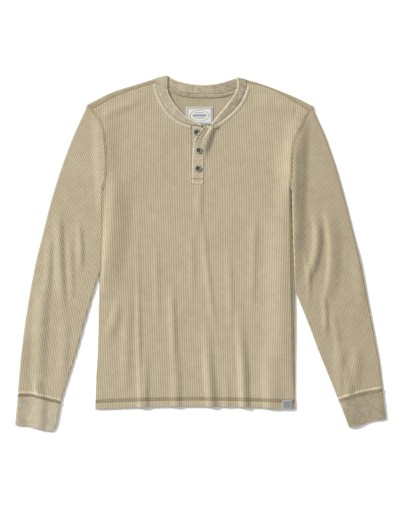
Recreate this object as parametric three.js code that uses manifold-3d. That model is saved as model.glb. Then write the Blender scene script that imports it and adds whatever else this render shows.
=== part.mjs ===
// A long-sleeved henley shirt in rib knit, laid flat with its front up.
// Millimetres; X is across the shirt, Y runs from hem to neck, +Z is up from the surface it lies on.

import * as THREE from "three";
import { mergeVertices } from "three/addons/utils/BufferGeometryUtils.js";
import Module from "manifold-3d";

const wasm = await Module();
wasm.setup();

// Cloth
const SEAM_GAP = 0.3;
const BACK_WALL = 1.5;
const FRONT_WALL = 1.3;
const RIB_HEIGHT = 0.7;
const BODY_RIB_PITCH = 3.9;
const SLEEVE_RIB_PITCH = 3.6;
const BAND_WALL = 2.2;
const CUFF_WALL = 1.9;
const FOLD_WALL = 1.8;
const FOLD_RADIUS = 2.4;
const LAYER_REST = BACK_WALL + SEAM_GAP;
const FRONT_LIFT = 0.8;
const SLEEVE_LIFT = 0.1;
const SLEEVE_BREADTH = 190;
const TALLEST = 30;

// Hem
const HEM_RISE = 6;
const HEM_TOP_Y = -320;
const HEM_STEP = 4;
const HEM_DOUBLING = 0.5;

// Sides of the body from the hem to the underarm.
const HEM_Y = -336;
const UNDERARM_Y = 131;
const BODY_SIDES = [
  { y: HEM_Y, left: -224.7, right: 205.3 },
  { y: -264, left: -222.5, right: 204.3 },
  { y: -196, left: -218.2, right: 205.3 },
  { y: -110, left: -217.2, right: 205.3 },
  { y: -58, left: -213.9, right: 204.3 },
  { y: 28, left: -210.7, right: 201.0 },
  { y: UNDERARM_Y, left: -209.0, right: 198.0 },
];

// Middle and half width that the ribs of the front follow.
const RIB_FAN = [
  { y: -345, middle: -9.7, half: 215.0 },
  { y: -200, middle: -6.5, half: 211.8 },
  { y: 28, middle: -4.9, half: 205.9 },
  { y: 131, middle: -3.5, half: 203.5 },
  { y: 365, middle: -1.0, half: 213.0 },
];

// Armhole seams, from the shoulder tip to the underarm.
const ARMHOLES = {
  left: [[-241.9, 319.3], [-223, 300], [-210.5, 281.7], [-204, 258], [-199.3, 212], [-199.5, 170],
    [-204, 144], [-209, 131]],
  right: [[244, 316], [228.5, 297], [217.5, 272], [205.5, 250], [198.4, 219], [196.3, 172],
    [197.2, 144], [198, 131]],
};

// Shoulder folds, from the shoulder tip to the neck, and the shoulder seams in front of them.
const SHOULDERS = {
  left: {
    fold: [[-241.9, 319.3], [-188, 346.2], [-134.4, 363.4], [-93, 376.4]],
    seam: [[-232, 309.5], [-166.6, 341.9], [-92.2, 366.5]],
  },
  right: {
    fold: [[244, 316], [201, 337.6], [134.4, 363.4], [102, 373]],
    seam: [[233, 307.5], [159.3, 350.5], [102.2, 366]],
  },
};
const SHOULDER_RIB_SLANT = 0.36;
const SHOULDER_RIB_PITCH = 4.15;

// Outer fold of each sleeve, from the shoulder tip to the cuff seam.
const SLEEVE_FOLDS = {
  left: [
    { y: 330, x: -236.0 },
    { y: 303, x: -248.3 },
    { y: 252, x: -272.0 },
    { y: 183, x: -297.8 },
    { y: 114, x: -319.3 },
    { y: 45, x: -336.5 },
    { y: -24, x: -353.7 },
    { y: -93, x: -366.6 },
    { y: -161, x: -377.3 },
    { y: -230, x: -385.9 },
    { y: -304, x: -391.5 },
    { y: -340, x: -394.0 },
  ],
  right: [
    { y: 330, x: 237.0 },
    { y: 303, x: 246.2 },
    { y: 252, x: 269.8 },
    { y: 183, x: 293.5 },
    { y: 114, x: 312.8 },
    { y: 45, x: 330.0 },
    { y: -24, x: 347.2 },
    { y: -93, x: 360.1 },
    { y: -161, x: 373.0 },
    { y: -230, x: 385.9 },
    { y: -292, x: 393.4 },
    { y: -340, x: 397.0 },
  ],
};

// Underarm edge of each sleeve, from where it leaves the body's side to the cuff seam.
const SLEEVE_UNDERARMS = {
  left: [[-220.4, -58], [-231.1, -92.5], [-246.2, -144], [-265.5, -213], [-298.6, -319.5]],
  right: [[206.9, -85], [231.1, -144], [256.9, -213], [284.9, -281.7], [298.2, -316]],
};
const SLEEVE_LEAVES_BODY_Y = { left: -41, right: -80 };

// Cuffs: seam to the sleeve, then the free edge.
const CUFFS = {
  left: {
    seam: [[-391.5, -304], [-363, -303.5], [-298.6, -319.5]],
    edge: [[-307.2, -366.8], [-318.6, -383.1], [-346.6, -378.2], [-371.3, -372.4], [-397.8, -369.2]],
  },
  right: {
    seam: [[393.4, -292.4], [344.9, -301], [298.2, -316]],
    edge: [[320.8, -374.5], [338, -372.8], [367.4, -362.5], [401.2, -356.5]],
  },
};

// Neckband: its free inner edge and its sewn outer edge, from the placket round to the placket.
const BAND_FRONT_LEFT = [
  { inner: [4.5, 275.4], outer: [3, 272] },
  { inner: [-11.4, 284], outer: [-19, 275] },
  { inner: [-28.6, 294.1], outer: [-40, 282.3] },
  { inner: [-44.5, 310], outer: [-61.5, 298.3] },
  { inner: [-58.9, 328.7], outer: [-77.6, 319.9] },
  { inner: [-67.6, 348], outer: [-87.5, 341.5] },
  { inner: [-69, 364.6], outer: [-91.8, 360.3] },
];
const BAND_BACK = [
  { inner: [-56, 374.7], outer: [-76, 362.5] },
  { inner: [-41.6, 369], outer: [-52, 349.8] },
  { inner: [-20, 364.6], outer: [-24, 343.2] },
  { inner: [5.9, 362.5], outer: [5.9, 341.6] },
  { inner: [30.4, 364], outer: [36, 342] },
  { inner: [52, 368.3], outer: [60, 345.6] },
  { inner: [66.4, 373.3], outer: [84, 356] },
];
const BAND_FRONT_RIGHT = [
  { inner: [81.8, 365], outer: [102, 361] },
  { inner: [79.5, 350], outer: [97, 344] },
  { inner: [70.5, 334], outer: [86.6, 322.9] },
  { inner: [57, 316.6], outer: [70.7, 304.2] },
  { inner: [44, 300.6], outer: [54.5, 290.5] },
  { inner: [33, 287], outer: [41.9, 281.2] },
  { inner: [25, 276.6], outer: [29.8, 273.8] },
];
// The lines that the band folds over at the shoulders.
const BAND_FOLDS = {
  left: { inner: [-68.3, 380.7], outer: [-92.6, 375.2] },
  right: { inner: [79, 376.5], outer: [100.6, 371.1] },
};
const BAND_UPPER_Z = 2.6;

// Tape over the back neck seam.
const TAPE_WIDTH = 7;
const TAPE_DROP = 0.6;
const TAPE_WALL = 1;
const TAPE_ENDS = { left: -63, right: 71 };

// Placket: its slot in the front, the underlap and the overlap, which is sewn along its right side.
const SLOT = { left: -16.8, right: 9.1, bottom: 148, top: 274.2 };
const PLACKET_WALL = 1.5;
const UNDERLAP_Z = 1.9;
const OVERLAP_ROWS = [
  { y: 148.4, left: -16.4, right: 8.8, lift: 0 },
  { y: 160, left: -16.4, right: 8.8, lift: 0 },
  { y: 200, left: -15.6, right: 8.8, lift: 0 },
  { y: 229.4, left: -13.1, right: 10.4, lift: 0.3 },
  { y: 237, left: -11, right: 11.6, lift: 1.0 },
  { y: 247.5, left: -7.7, right: 15.8, lift: 2.5 },
  { y: 256, left: -2.4, right: 20.5, lift: 2.9 },
  { y: 262.5, left: 4.1, right: 24.4, lift: 3.0 },
  { y: 272.2, left: 10, right: 28.8, lift: 2.7 },
];

// Buttons: centre and the layer that each is sewn to or stands through.
const BUTTON_RADIUS = 6.9;
const BUTTON_HEIGHT = 2.4;
const BUTTONS = [
  { x: -6.7, y: 259.9, on: "underlap" },
  { x: -1.7, y: 220.8, on: "overlap" },
  { x: -3.4, y: 181.7, on: "overlap" },
];

// Label inside the back of the neck, and the tab over the hem.
const NECK_LABEL = { left: -29, right: 29, bottom: 276.5, top: 314.3, wall: 0.5 };
const HEM_TAB = { left: 178, right: 198.9, bottom: -335, top: -315.6, wall: 0.8 };

// Folds of the laid cloth: the line of each crest, half its breadth and its height.
const BODY_FOLDS = [
  { from: [-117, -345], to: [-112, -120], breadth: 24, height: 2.2 },
  { from: [-48, -345], to: [-44, -190], breadth: 20, height: 1.9 },
  { from: [27, -345], to: [24, -150], breadth: 26, height: 2.4 },
  { from: [88, -345], to: [82, -210], breadth: 22, height: 2.0 },
  { from: [153, -345], to: [140, 60], breadth: 28, height: 2.6 },
];
const SLEEVE_CREASES = {
  left: [
    { from: [-296, 50], to: [-302, -60], breadth: 16, height: 1.8 },
    { from: [-336, -120], to: [-338, -250], breadth: 15, height: 1.6 },
  ],
  right: [
    { from: [262, 40], to: [228, -60], breadth: 16, height: 1.8 },
    { from: [326, -210], to: [332, -290], breadth: 15, height: 1.6 },
  ],
};

const COLOURS = {
  rib: { color: 0xbeae8e, roughness: 0.92, metalness: 0 },
  jersey: { color: 0xb9aa8c, roughness: 0.9, metalness: 0 },
  button: { color: 0x6b675f, roughness: 0.35, metalness: 0 },
  label: { color: 0xe6e2d6, roughness: 0.8, metalness: 0 },
  tab: { color: 0xa9adb0, roughness: 0.7, metalness: 0 },
};

const SIDES = { left: 1, right: -1 };

// Shared geometry

function lookup(table, column, y) {
  const rows = [...table].sort((a, b) => a.y - b.y);
  let next = rows.findIndex((row) => row.y >= y);
  if (next < 0) next = rows.length - 1;
  if (next === 0) next = 1;
  const low = rows[next - 1];
  const high = rows[next];
  const share = (y - low.y) / (high.y - low.y);
  return low[column] + share * (high[column] - low[column]);
}

function smooth(share) {
  const t = Math.min(1, Math.max(0, share));
  return t * t * (3 - 2 * t);
}

function curve(points, divisions) {
  const line = new THREE.SplineCurve(points.map(([x, y]) => new THREE.Vector2(x, y)));
  return line.getSpacedPoints(divisions).map((p) => [p.x, p.y]);
}

function steps(first, last, count) {
  return Array.from({ length: count + 1 }, (_, i) => first + ((last - first) * i) / count);
}

function foldHeight(folds, x, y) {
  let height = 0;
  for (const fold of folds) {
    const dx = fold.to[0] - fold.from[0];
    const dy = fold.to[1] - fold.from[1];
    const length = Math.hypot(dx, dy);
    const along = ((x - fold.from[0]) * dx + (y - fold.from[1]) * dy) / (length * length);
    const across = Math.abs((x - fold.from[0]) * dy - (y - fold.from[1]) * dx) / length;
    const open = fold.from[1] < -340 ? 1 : smooth(along / 0.35);
    height += fold.height * smooth(1 - across / fold.breadth) * open * smooth((1 - along) / 0.8);
  }
  return height;
}

function toSolid(geometry) {
  const bare = geometry.clone();
  bare.deleteAttribute("normal");
  bare.deleteAttribute("uv");
  const merged = mergeVertices(bare, 1e-4);
  return new wasm.Manifold(new wasm.Mesh({
    numProp: 3,
    vertProperties: new Float32Array(merged.attributes.position.array),
    triVerts: new Uint32Array(merged.index.array),
  }));
}

function toGeometry(solid) {
  const mesh = solid.getMesh();
  const geometry = new THREE.BufferGeometry();
  geometry.setAttribute("position", new THREE.BufferAttribute(mesh.vertProperties, 3));
  geometry.setIndex(new THREE.BufferAttribute(mesh.triVerts, 1));
  return geometry;
}

function turnsLeft(points) {
  const doubled = points.reduce((sum, [x, y], i) => {
    const [nx, ny] = points[(i + 1) % points.length];
    return sum + x * ny - nx * y;
  }, 0);
  return doubled > 0;
}

// An outline moved inwards everywhere by the same distance.
function inset(points, distance) {
  const ring = turnsLeft(points) ? points : [...points].reverse();
  return ring.map(([x, y], i) => {
    const [px, py] = ring[(i + ring.length - 1) % ring.length];
    const [nx, ny] = ring[(i + 1) % ring.length];
    const before = new THREE.Vector2(x - px, y - py).normalize();
    const after = new THREE.Vector2(nx - x, ny - y).normalize();
    const mean = new THREE.Vector2(-before.y - after.y, before.x + after.x).normalize();
    const reach = distance / Math.max(0.5, mean.dot(new THREE.Vector2(-before.y, before.x)));
    return [x + mean.x * reach, y + mean.y * reach];
  });
}

function plateGeometry(points, bottom, top) {
  const shape = new THREE.Shape(points.map(([x, y]) => new THREE.Vector2(x, y)));
  const geometry = new THREE.ExtrudeGeometry(shape, { depth: top - bottom, bevelEnabled: false });
  return geometry.translate(0, 0, bottom);
}

function plate(points, bottom, top) {
  return toSolid(plateGeometry(points, bottom, top));
}

// A closed slab over a grid: at(u, v) gives each point's place, bottom and top give its heights.
function slabGeometry({ us, vs, at, bottom, top }) {
  const positions = [];
  const faces = [];
  const wide = us.length;
  const layer = wide * vs.length;
  for (const height of [bottom, top]) {
    vs.forEach((v, row) => us.forEach((u, column) => {
      const [x, y] = at(u, v);
      positions.push(x, y, height(x, y, column, row));
    }));
  }
  const quad = (a, b, c, d) => faces.push(a, b, c, a, c, d);
  for (let row = 0; row + 1 < vs.length; row++) {
    for (let column = 0; column + 1 < wide; column++) {
      const a = row * wide + column;
      quad(a, a + wide, a + wide + 1, a + 1);
      quad(layer + a, layer + a + 1, layer + a + wide + 1, layer + a + wide);
    }
  }
  const last = (vs.length - 1) * wide;
  for (let column = 0; column + 1 < wide; column++) {
    quad(column, column + 1, layer + column + 1, layer + column);
    quad(last + column + 1, last + column, layer + last + column, layer + last + column + 1);
  }
  for (let row = 0; row + 1 < vs.length; row++) {
    const a = row * wide;
    const b = a + wide - 1;
    quad(a + wide, a, layer + a, layer + a + wide);
    quad(b, b + wide, layer + b + wide, layer + b);
  }
  const geometry = new THREE.BufferGeometry();
  geometry.setAttribute("position", new THREE.Float32BufferAttribute(positions, 3));
  const [x0, y0] = at(us[0], vs[0]);
  const [x1, y1] = at(us[1], vs[0]);
  const [x2, y2] = at(us[0], vs[1]);
  if ((x1 - x0) * (y2 - y0) < (x2 - x0) * (y1 - y0)) faces.reverse();
  geometry.setIndex(faces);
  return geometry;
}

function slab(grid) {
  return toSolid(slabGeometry(grid));
}

// A strip of doubled cloth swept through stations, each with an inner and an outer edge.
function stripGeometry(stations, wall) {
  const chamfer = wall / 4;
  const positions = [];
  const faces = [];
  for (const { inner, outer, up } of stations) {
    const across = outer.clone().sub(inner);
    const width = across.length();
    across.normalize();
    const corner = Math.min(chamfer, width / 4);
    const section = [
      [corner, -wall / 2], [width - corner, -wall / 2], [width, -wall / 2 + chamfer],
      [width, wall / 2 - chamfer], [width - corner, wall / 2], [corner, wall / 2],
      [0, wall / 2 - chamfer], [0, -wall / 2 + chamfer],
    ];
    for (const [a, n] of section) {
      const p = inner.clone().addScaledVector(across, a).addScaledVector(up, n);
      positions.push(p.x, p.y, p.z);
    }
  }
  const round = 8;
  for (let i = 0; i + 1 < stations.length; i++) {
    for (let k = 0; k < round; k++) {
      const a = i * round + k;
      const b = i * round + ((k + 1) % round);
      faces.push(a, b, b + round, a, b + round, a + round);
    }
  }
  const end = (stations.length - 1) * round;
  for (let k = 1; k + 1 < round; k++) {
    faces.push(0, k + 1, k);
    faces.push(end, end + k, end + k + 1);
  }
  const geometry = new THREE.BufferGeometry();
  geometry.setAttribute("position", new THREE.Float32BufferAttribute(positions, 3));
  geometry.setIndex(faces);
  return geometry;
}

// Outlines

const sideEdge = (side, y) => lookup(BODY_SIDES, side, y);
const armhole = { left: curve(ARMHOLES.left, 18), right: curve(ARMHOLES.right, 18) };
const bandLine = (rows, edge, count) => {
  const line = new THREE.SplineCurve(rows.map((row) => new THREE.Vector2(...row[edge])));
  return line.getPoints(count).map((p) => [p.x, p.y]);
};
const bandRows = (rows, count) => {
  const inner = bandLine(rows, "inner", count);
  const outer = bandLine(rows, "outer", count);
  return inner.map((point, i) => ({ inner: point, outer: outer[i] }));
};
const bandFrontLeft = bandRows([...BAND_FRONT_LEFT, BAND_FOLDS.left], 13);
const bandBack = bandRows([BAND_FOLDS.left, ...BAND_BACK, BAND_FOLDS.right], 15);
const bandFrontRight = bandRows([BAND_FOLDS.right, ...BAND_FRONT_RIGHT], 13);
const shoulderFold = { left: curve(SHOULDERS.left.fold, 8), right: curve(SHOULDERS.right.fold, 8) };
const shoulderSeam = { left: curve(SHOULDERS.left.seam, 6), right: curve(SHOULDERS.right.seam, 6) };

// The hem bows up in its middle, and the cloth above it follows less and less.
function hemEdge(x) {
  const half = lookup(RIB_FAN, "half", HEM_Y);
  const middle = lookup(RIB_FAN, "middle", HEM_Y);
  return HEM_Y + HEM_RISE * (1 - ((x - middle) / half) ** 2);
}

function hemRise(x, y) {
  return (hemEdge(x) - HEM_Y) * smooth((-200 - y) / 100);
}

const hemPoints = steps(BODY_SIDES[0].left, BODY_SIDES[0].right, 12).map((x) => [x, hemEdge(x)]);

function sidePoints(side) {
  return BODY_SIDES.slice(1, -1).map((row) => [row[side], row.y]);
}

function bodyOutline(top) {
  return [...hemPoints, ...sidePoints("right"), ...[...armhole.right].reverse().slice(0, -1), ...top,
    ...armhole.left.slice(1), ...sidePoints("left").reverse()];
}

// The front stops at the shoulder seams, so its armholes start below them.
function frontOutline() {
  const reached = (side) => armhole[side].filter(([, y]) => y < SHOULDERS[side].seam[0][1]);
  const below = (side) => ([, y]) => y < SHOULDERS[side].seam[2][1] - 1;
  const bandRight = bandFrontRight.map((row) => row.outer).filter(below("right"));
  const bandLeft = bandFrontLeft.map((row) => row.outer).filter(below("left"));
  const slotRight = OVERLAP_ROWS.map(({ right, y }) => [right + SEAM_GAP, y]).reverse();
  const slot = [...slotRight.slice(0, -1), [SLOT.right, SLOT.bottom], [SLOT.left, SLOT.bottom],
    [SLOT.left, SLOT.top]];
  return [
    ...hemPoints,
    ...sidePoints("right"),
    ...reached("right").reverse(),
    ...shoulderSeam.right,
    ...bandRight,
    ...slot,
    ...bandLeft.filter(([x]) => x < SLOT.left - 1),
    ...[...shoulderSeam.left].reverse(),
    ...reached("left"),
    ...sidePoints("left").reverse(),
  ];
}

function backOutline() {
  const neck = bandBack.map((row) => row.outer).reverse();
  return bodyOutline([...shoulderFold.right.slice(0, -1), ...neck,
    ...[...shoulderFold.left].reverse().slice(1)]);
}

// Body

const frontInside = (x, y) => {
  const middle = lookup(RIB_FAN, "middle", y);
  const half = lookup(RIB_FAN, "half", y);
  const inward = 1 - Math.abs(x - middle) / half;
  return LAYER_REST + FRONT_LIFT * smooth(inward / 0.12)
    + foldHeight(BODY_FOLDS, x, y) * smooth(inward / 0.08);
};

const BODY_ROWS = [-345, HEM_TOP_Y, HEM_TOP_Y + HEM_STEP, -220, -100, 60, 375];
const BODY_HALF = 235;

function placeOnBody(u, v) {
  const x = lookup(RIB_FAN, "middle", v) + (u * lookup(RIB_FAN, "half", v)) / RIB_FAN[0].half;
  return [x, v + hemRise(x, v)];
}

function bodyRibs(inside) {
  const count = 2 * Math.ceil(BODY_HALF / BODY_RIB_PITCH);
  const us = steps(-count, count, 2 * count).map((i) => (i * BODY_RIB_PITCH) / 2);
  return slab({
    us,
    vs: BODY_ROWS,
    at: placeOnBody,
    bottom: () => -1,
    top: (x, y, column, row) => inside(x, y) + FRONT_WALL + (column % 2) * RIB_HEIGHT
      + (BODY_ROWS[row] <= HEM_TOP_Y ? HEM_DOUBLING : 0),
  });
}

function frontPanel() {
  const under = slab({
    us: steps(-BODY_HALF - 5, BODY_HALF + 5, 60),
    vs: BODY_ROWS,
    at: placeOnBody,
    bottom: () => -2,
    top: frontInside,
  });
  return bodyRibs(frontInside)
    .intersect(plate(inset(frontOutline(), SEAM_GAP / 2), 0, TALLEST))
    .subtract(under);
}

// The back's cloth that comes over the shoulder fold to the front.
function shoulderWrap(side) {
  const fold = shoulderFold[side];
  const seam = shoulderSeam[side];
  const outline = inset([...fold, ...[...seam].reverse()], SEAM_GAP / 2);
  const line = new THREE.SplineCurve(SHOULDERS[side].fold.map(([x, y]) => new THREE.Vector2(x, y)));
  const length = line.getLength();
  const reach = { from: -0.12, to: 1.06 };
  const count = 2 * Math.round(((reach.to - reach.from) * length) / SHOULDER_RIB_PITCH);
  const depths = [0, 1.4, 16];
  const at = (u, depth) => {
    const share = Math.min(1, Math.max(0, u));
    const p = line.getPointAt(share);
    const t = line.getTangentAt(share);
    const inward = new THREE.Vector2(t.y, -t.x).multiplyScalar(SIDES[side]);
    const along = (u - share) * length + depth * SHOULDER_RIB_SLANT;
    p.addScaledVector(inward, depth).addScaledVector(t, along);
    return [p.x, p.y];
  };
  const ribs = slab({
    us: steps(reach.from, reach.to, count),
    vs: depths,
    at,
    bottom: () => 0,
    top: (x, y, column, row) => LAYER_REST + FRONT_WALL + (column % 2) * RIB_HEIGHT
      - [1.5, 0, 0][row],
  });
  const inner = slab({
    us: steps(-0.2, 1.2, 4),
    vs: [FOLD_WALL, 20],
    at,
    bottom: () => BACK_WALL,
    top: () => LAYER_REST,
  });
  return ribs.intersect(plate(outline, 0, TALLEST)).subtract(inner);
}

function backPanel() {
  const sheet = plate(inset(backOutline(), SEAM_GAP / 2), 0, BACK_WALL);
  return sheet.add(shoulderWrap("left")).add(shoulderWrap("right"));
}

// Sleeves

const SLEEVE_ROWS = [330, 235, 130, 20, -90, -210, -340];

function sleeveFold(side, y) {
  return lookup(SLEEVE_FOLDS[side], "x", y);
}

function sleeveOutline(side) {
  const leaves = SLEEVE_LEAVES_BODY_Y[side];
  const alongBody = [100, 28, -20, leaves].map((y) => [sideEdge(side, y), y]);
  const underarm = SLEEVE_UNDERARMS[side];
  const seam = [...CUFFS[side].seam].reverse();
  const tip = ARMHOLES[side][0][1];
  const fold = SLEEVE_FOLDS[side]
    .filter(({ y }) => y < tip - 3 && y > seam[seam.length - 1][1] + 3)
    .map(({ x, y }) => [x, y])
    .reverse();
  return [...armhole[side], ...alongBody, ...underarm.slice(0, -1), ...seam, ...fold];
}

function sleeveCavityOutline(side) {
  const toBody = SIDES[side];
  const hidden = [UNDERARM_Y, 28, SLEEVE_LEAVES_BODY_Y[side]].map((y) => [sideEdge(side, y), y]);
  const underarm = [...hidden,
    ...SLEEVE_UNDERARMS[side]];
  const last = underarm[underarm.length - 1];
  const fold = SLEEVE_FOLDS[side].map(({ x, y }) => [x + toBody * FOLD_WALL, y]);
  const inside = underarm.map(([x, y]) => [x - toBody * FOLD_WALL, y]).reverse();
  const atCuff = [fold[fold.length - 1][0], last[0] - toBody * 10].map((x) => [x, BODY_ROWS[0]]);
  const pastArmhole = sideEdge(side, UNDERARM_Y) + toBody * 30;
  const atArmhole = [[pastArmhole, UNDERARM_Y + 2], [pastArmhole, SLEEVE_ROWS[0]]];
  return [...fold, ...atCuff, ...inside, ...atArmhole];
}

function sleeve(side) {
  const toBody = SIDES[side];
  const inside = (x, y) => LAYER_REST + SLEEVE_LIFT + foldHeight(SLEEVE_CREASES[side], x, y);
  const at = (d, y) => {
    const slope = (sleeveFold(side, y + 8) - sleeveFold(side, y - 8)) / 16;
    return [sleeveFold(side, y) + toBody * d * Math.hypot(1, slope), y];
  };
  const across = SLEEVE_BREADTH;
  const count = 2 * Math.round(across / SLEEVE_RIB_PITCH);
  const ds = [-2, 0.5, ...steps(0, across, count).slice(1)];
  const ribs = slab({
    us: ds,
    vs: SLEEVE_ROWS,
    at,
    bottom: () => 0,
    top: (x, y, column) => {
      const d = ds[column];
      const depth = Math.min(FOLD_RADIUS, Math.max(0, FOLD_RADIUS - d));
      const drop = FOLD_RADIUS - Math.sqrt(FOLD_RADIUS ** 2 - depth ** 2);
      const rib = column < 2 ? 0 : ((column - 1) % 2) * RIB_HEIGHT;
      return inside(x, y) + FRONT_WALL + rib - 0.8 * drop;
    },
  });
  const hollow = slab({
    us: steps(0, across, 14),
    vs: SLEEVE_ROWS,
    at,
    bottom: () => BACK_WALL,
    top: inside,
  }).intersect(plate(sleeveCavityOutline(side), 0, TALLEST));
  return ribs
    .intersect(plate(inset(sleeveOutline(side), SEAM_GAP / 2), 0, TALLEST))
    .subtract(hollow);
}

// Cuffs

function cuff(side) {
  const { seam, edge } = CUFFS[side];
  const outline = inset([...seam, ...edge], SEAM_GAP / 2);
  const toBody = SIDES[side];
  const seamStart = seam[0];
  const seamEnd = seam[seam.length - 1];
  const edgeStart = edge[0];
  const edgeEnd = edge[edge.length - 1];
  const at = (u, v) => {
    const upper = [seamStart[0] + (seamEnd[0] - seamStart[0]) * u, seamStart[1]
      + (seamEnd[1] - seamStart[1]) * u];
    const lower = [edgeEnd[0] + (edgeStart[0] - edgeEnd[0]) * u, edgeEnd[1]
      + (edgeStart[1] - edgeEnd[1]) * u];
    return [upper[0] + (lower[0] - upper[0]) * v, upper[1] + (lower[1] - upper[1]) * v];
  };
  const us = [-0.08, 0, 0.012, 0.03, 0.5, 0.97, 0.988, 1, 1.08];
  const drops = [1.9, 1.9, 0.6, 0, 0, 0, 0.6, 1.9, 1.9];
  const top = 2 * CUFF_WALL + SEAM_GAP;
  const outer = slab({
    us,
    vs: [-0.5, 0.5, 1.5],
    at,
    bottom: () => 0,
    top: (x, y, column) => top - drops[column],
  });
  const hollow = slab({
    us: [0.024, 0.976],
    vs: [-0.4, 1.4],
    at,
    bottom: () => CUFF_WALL,
    top: () => CUFF_WALL + SEAM_GAP,
  });
  return outer.intersect(plate(outline, 0, TALLEST)).subtract(hollow);
}

// Neckband

function bandStation({ inner, outer }, z, up) {
  return {
    inner: new THREE.Vector3(inner[0], inner[1], z),
    outer: new THREE.Vector3(outer[0], outer[1], z),
    up: new THREE.Vector3(0, 0, up),
  };
}

function neckband() {
  const upper = BAND_UPPER_Z + BAND_WALL / 2;
  const lower = BAND_WALL / 2;
  const radius = (upper - lower) / 2;
  const turn = (side, angles) => {
    const { inner, outer } = BAND_FOLDS[side];
    const along = new THREE.Vector3(inner[0] - outer[0], inner[1] - outer[1], 0).normalize();
    const away = new THREE.Vector3(-along.y, along.x, 0);
    if (away.y < 0) away.negate();
    return angles.map((degrees) => {
      const angle = THREE.MathUtils.degToRad(degrees);
      const up = away.clone().multiplyScalar(Math.sin(angle));
      up.z = Math.cos(angle);
      const moved = ([x, y]) => new THREE.Vector3(x, y, (upper + lower) / 2).addScaledVector(up, radius);
      return { inner: moved(inner), outer: moved(outer), up };
    });
  };
  const angles = [0, 45, 90, 135, 180];
  const narrowed = ({ inner, outer }) => {
    const across = new THREE.Vector2(inner[0] - outer[0], inner[1] - outer[1]).setLength(SEAM_GAP);
    return { inner, outer: [outer[0] + across.x, outer[1] + across.y] };
  };
  const stations = [
    ...bandFrontLeft.slice(0, -1).map((row) => bandStation(narrowed(row), upper, 1)),
    ...turn("left", angles),
    ...bandBack.slice(1, -1).map((row) => bandStation(narrowed(row), lower, -1)),
    ...turn("right", [...angles].reverse()),
    ...bandFrontRight.slice(1).map((row) => bandStation(narrowed(row), upper, 1)),
  ];
  return stripGeometry(stations, BAND_WALL);
}

function neckTape() {
  const seam = bandBack.map((row) => row.outer)
    .filter(([x]) => x > TAPE_ENDS.left && x < TAPE_ENDS.right);
  const top = seam.map(([x, y]) => [x, y - TAPE_DROP]);
  const bottom = seam.map(([x, y]) => [x, y - TAPE_DROP - TAPE_WIDTH]).reverse();
  return plateGeometry([...top, ...bottom], LAYER_REST, LAYER_REST + TAPE_WALL);
}

// Placket

function underlap() {
  const outline = [
    [SLOT.left, SLOT.bottom], [SLOT.right, SLOT.bottom], [SLOT.right, 265], [4, 271.6],
    [SLOT.left, SLOT.top],
  ];
  return plateGeometry(inset(outline, SEAM_GAP), UNDERLAP_Z, UNDERLAP_Z + PLACKET_WALL);
}

const overlapRest = UNDERLAP_Z + PLACKET_WALL + SEAM_GAP;

function overlapLift(y) {
  return lookup(OVERLAP_ROWS, "lift", y);
}

function overlap() {
  return slabGeometry({
    us: [0, 0.04, 0.25, 0.5, 0.75, 0.96, 1],
    vs: OVERLAP_ROWS.map((row) => row.y),
    at: (u, v) => {
      const left = lookup(OVERLAP_ROWS, "left", v);
      const right = lookup(OVERLAP_ROWS, "right", v);
      return [left + (right - left) * u, v];
    },
    bottom: (x, y) => overlapRest + overlapLift(y),
    top: (x, y, column) => overlapRest + PLACKET_WALL + overlapLift(y)
      - (column === 0 || column === 6 ? 0.5 : 0),
  });
}

// Buttons with a raised rim round a dished middle.
function button({ x, y, on }) {
  const seat = on === "underlap" ? UNDERLAP_Z + PLACKET_WALL : overlapRest + PLACKET_WALL + overlapLift(y);
  const r = BUTTON_RADIUS;
  const h = BUTTON_HEIGHT;
  const profile = [
    [0, 0], [r * 0.7, 0], [r * 0.96, h * 0.3], [r, h * 0.6], [r * 0.93, h * 0.93], [r * 0.82, h],
    [r * 0.7, h * 0.9], [r * 0.6, h * 0.66], [0, h * 0.58],
  ].map(([radius, height]) => new THREE.Vector2(radius, height));
  const geometry = new THREE.LatheGeometry(profile, 18).rotateX(Math.PI / 2);
  return { geometry, position: [x, y, seat + SEAM_GAP] };
}

// Label and tab

function neckLabel() {
  const { left, right, bottom, top, wall } = NECK_LABEL;
  return plateGeometry([[left, bottom], [right, bottom], [right, top], [left, top]],
    LAYER_REST, LAYER_REST + wall);
}

function hemTab() {
  const { left, right, bottom, top, wall } = HEM_TAB;
  const over = (x, y) => frontInside(x, y) + FRONT_WALL + RIB_HEIGHT + HEM_DOUBLING + SEAM_GAP;
  return slabGeometry({
    us: steps(left, right, 3),
    vs: steps(bottom, top, 3),
    at: (u, v) => [u, v],
    bottom: over,
    top: (x, y) => over(x, y) + wall,
  });
}

// The whole shirt

const shirt = new THREE.Group();

function addPiece(name, geometry, look, position = [0, 0, 0]) {
  const mesh = new THREE.Mesh(geometry, new THREE.MeshStandardMaterial(COLOURS[look]));
  mesh.name = name;
  mesh.position.set(...position);
  shirt.add(mesh);
}

addPiece("back_panel", toGeometry(backPanel()), "rib");
addPiece("front_panel", toGeometry(frontPanel()), "rib");
for (const side of ["left", "right"]) {
  addPiece(`sleeve_${side}`, toGeometry(sleeve(side)), "rib");
  addPiece(`cuff_${side}`, toGeometry(cuff(side)), "jersey");
}
addPiece("neckband", neckband(), "jersey");
addPiece("neck_tape", neckTape(), "jersey");
addPiece("placket_underlap", underlap(), "rib");
addPiece("placket_overlap", overlap(), "rib");
BUTTONS.forEach((place, i) => {
  const { geometry, position } = button(place);
  addPiece(`button_${i + 1}`, geometry, "button", position);
});
addPiece("neck_label", neckLabel(), "label");
addPiece("hem_tab", hemTab(), "tab");

// The origin is under the middle of the whole shirt.
const box = new THREE.Box3().setFromObject(shirt);
const middle = box.getCenter(new THREE.Vector3());
shirt.position.set(-middle.x, -middle.y, -box.min.z);

export default shirt;
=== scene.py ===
import bisect
import math
import random

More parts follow.
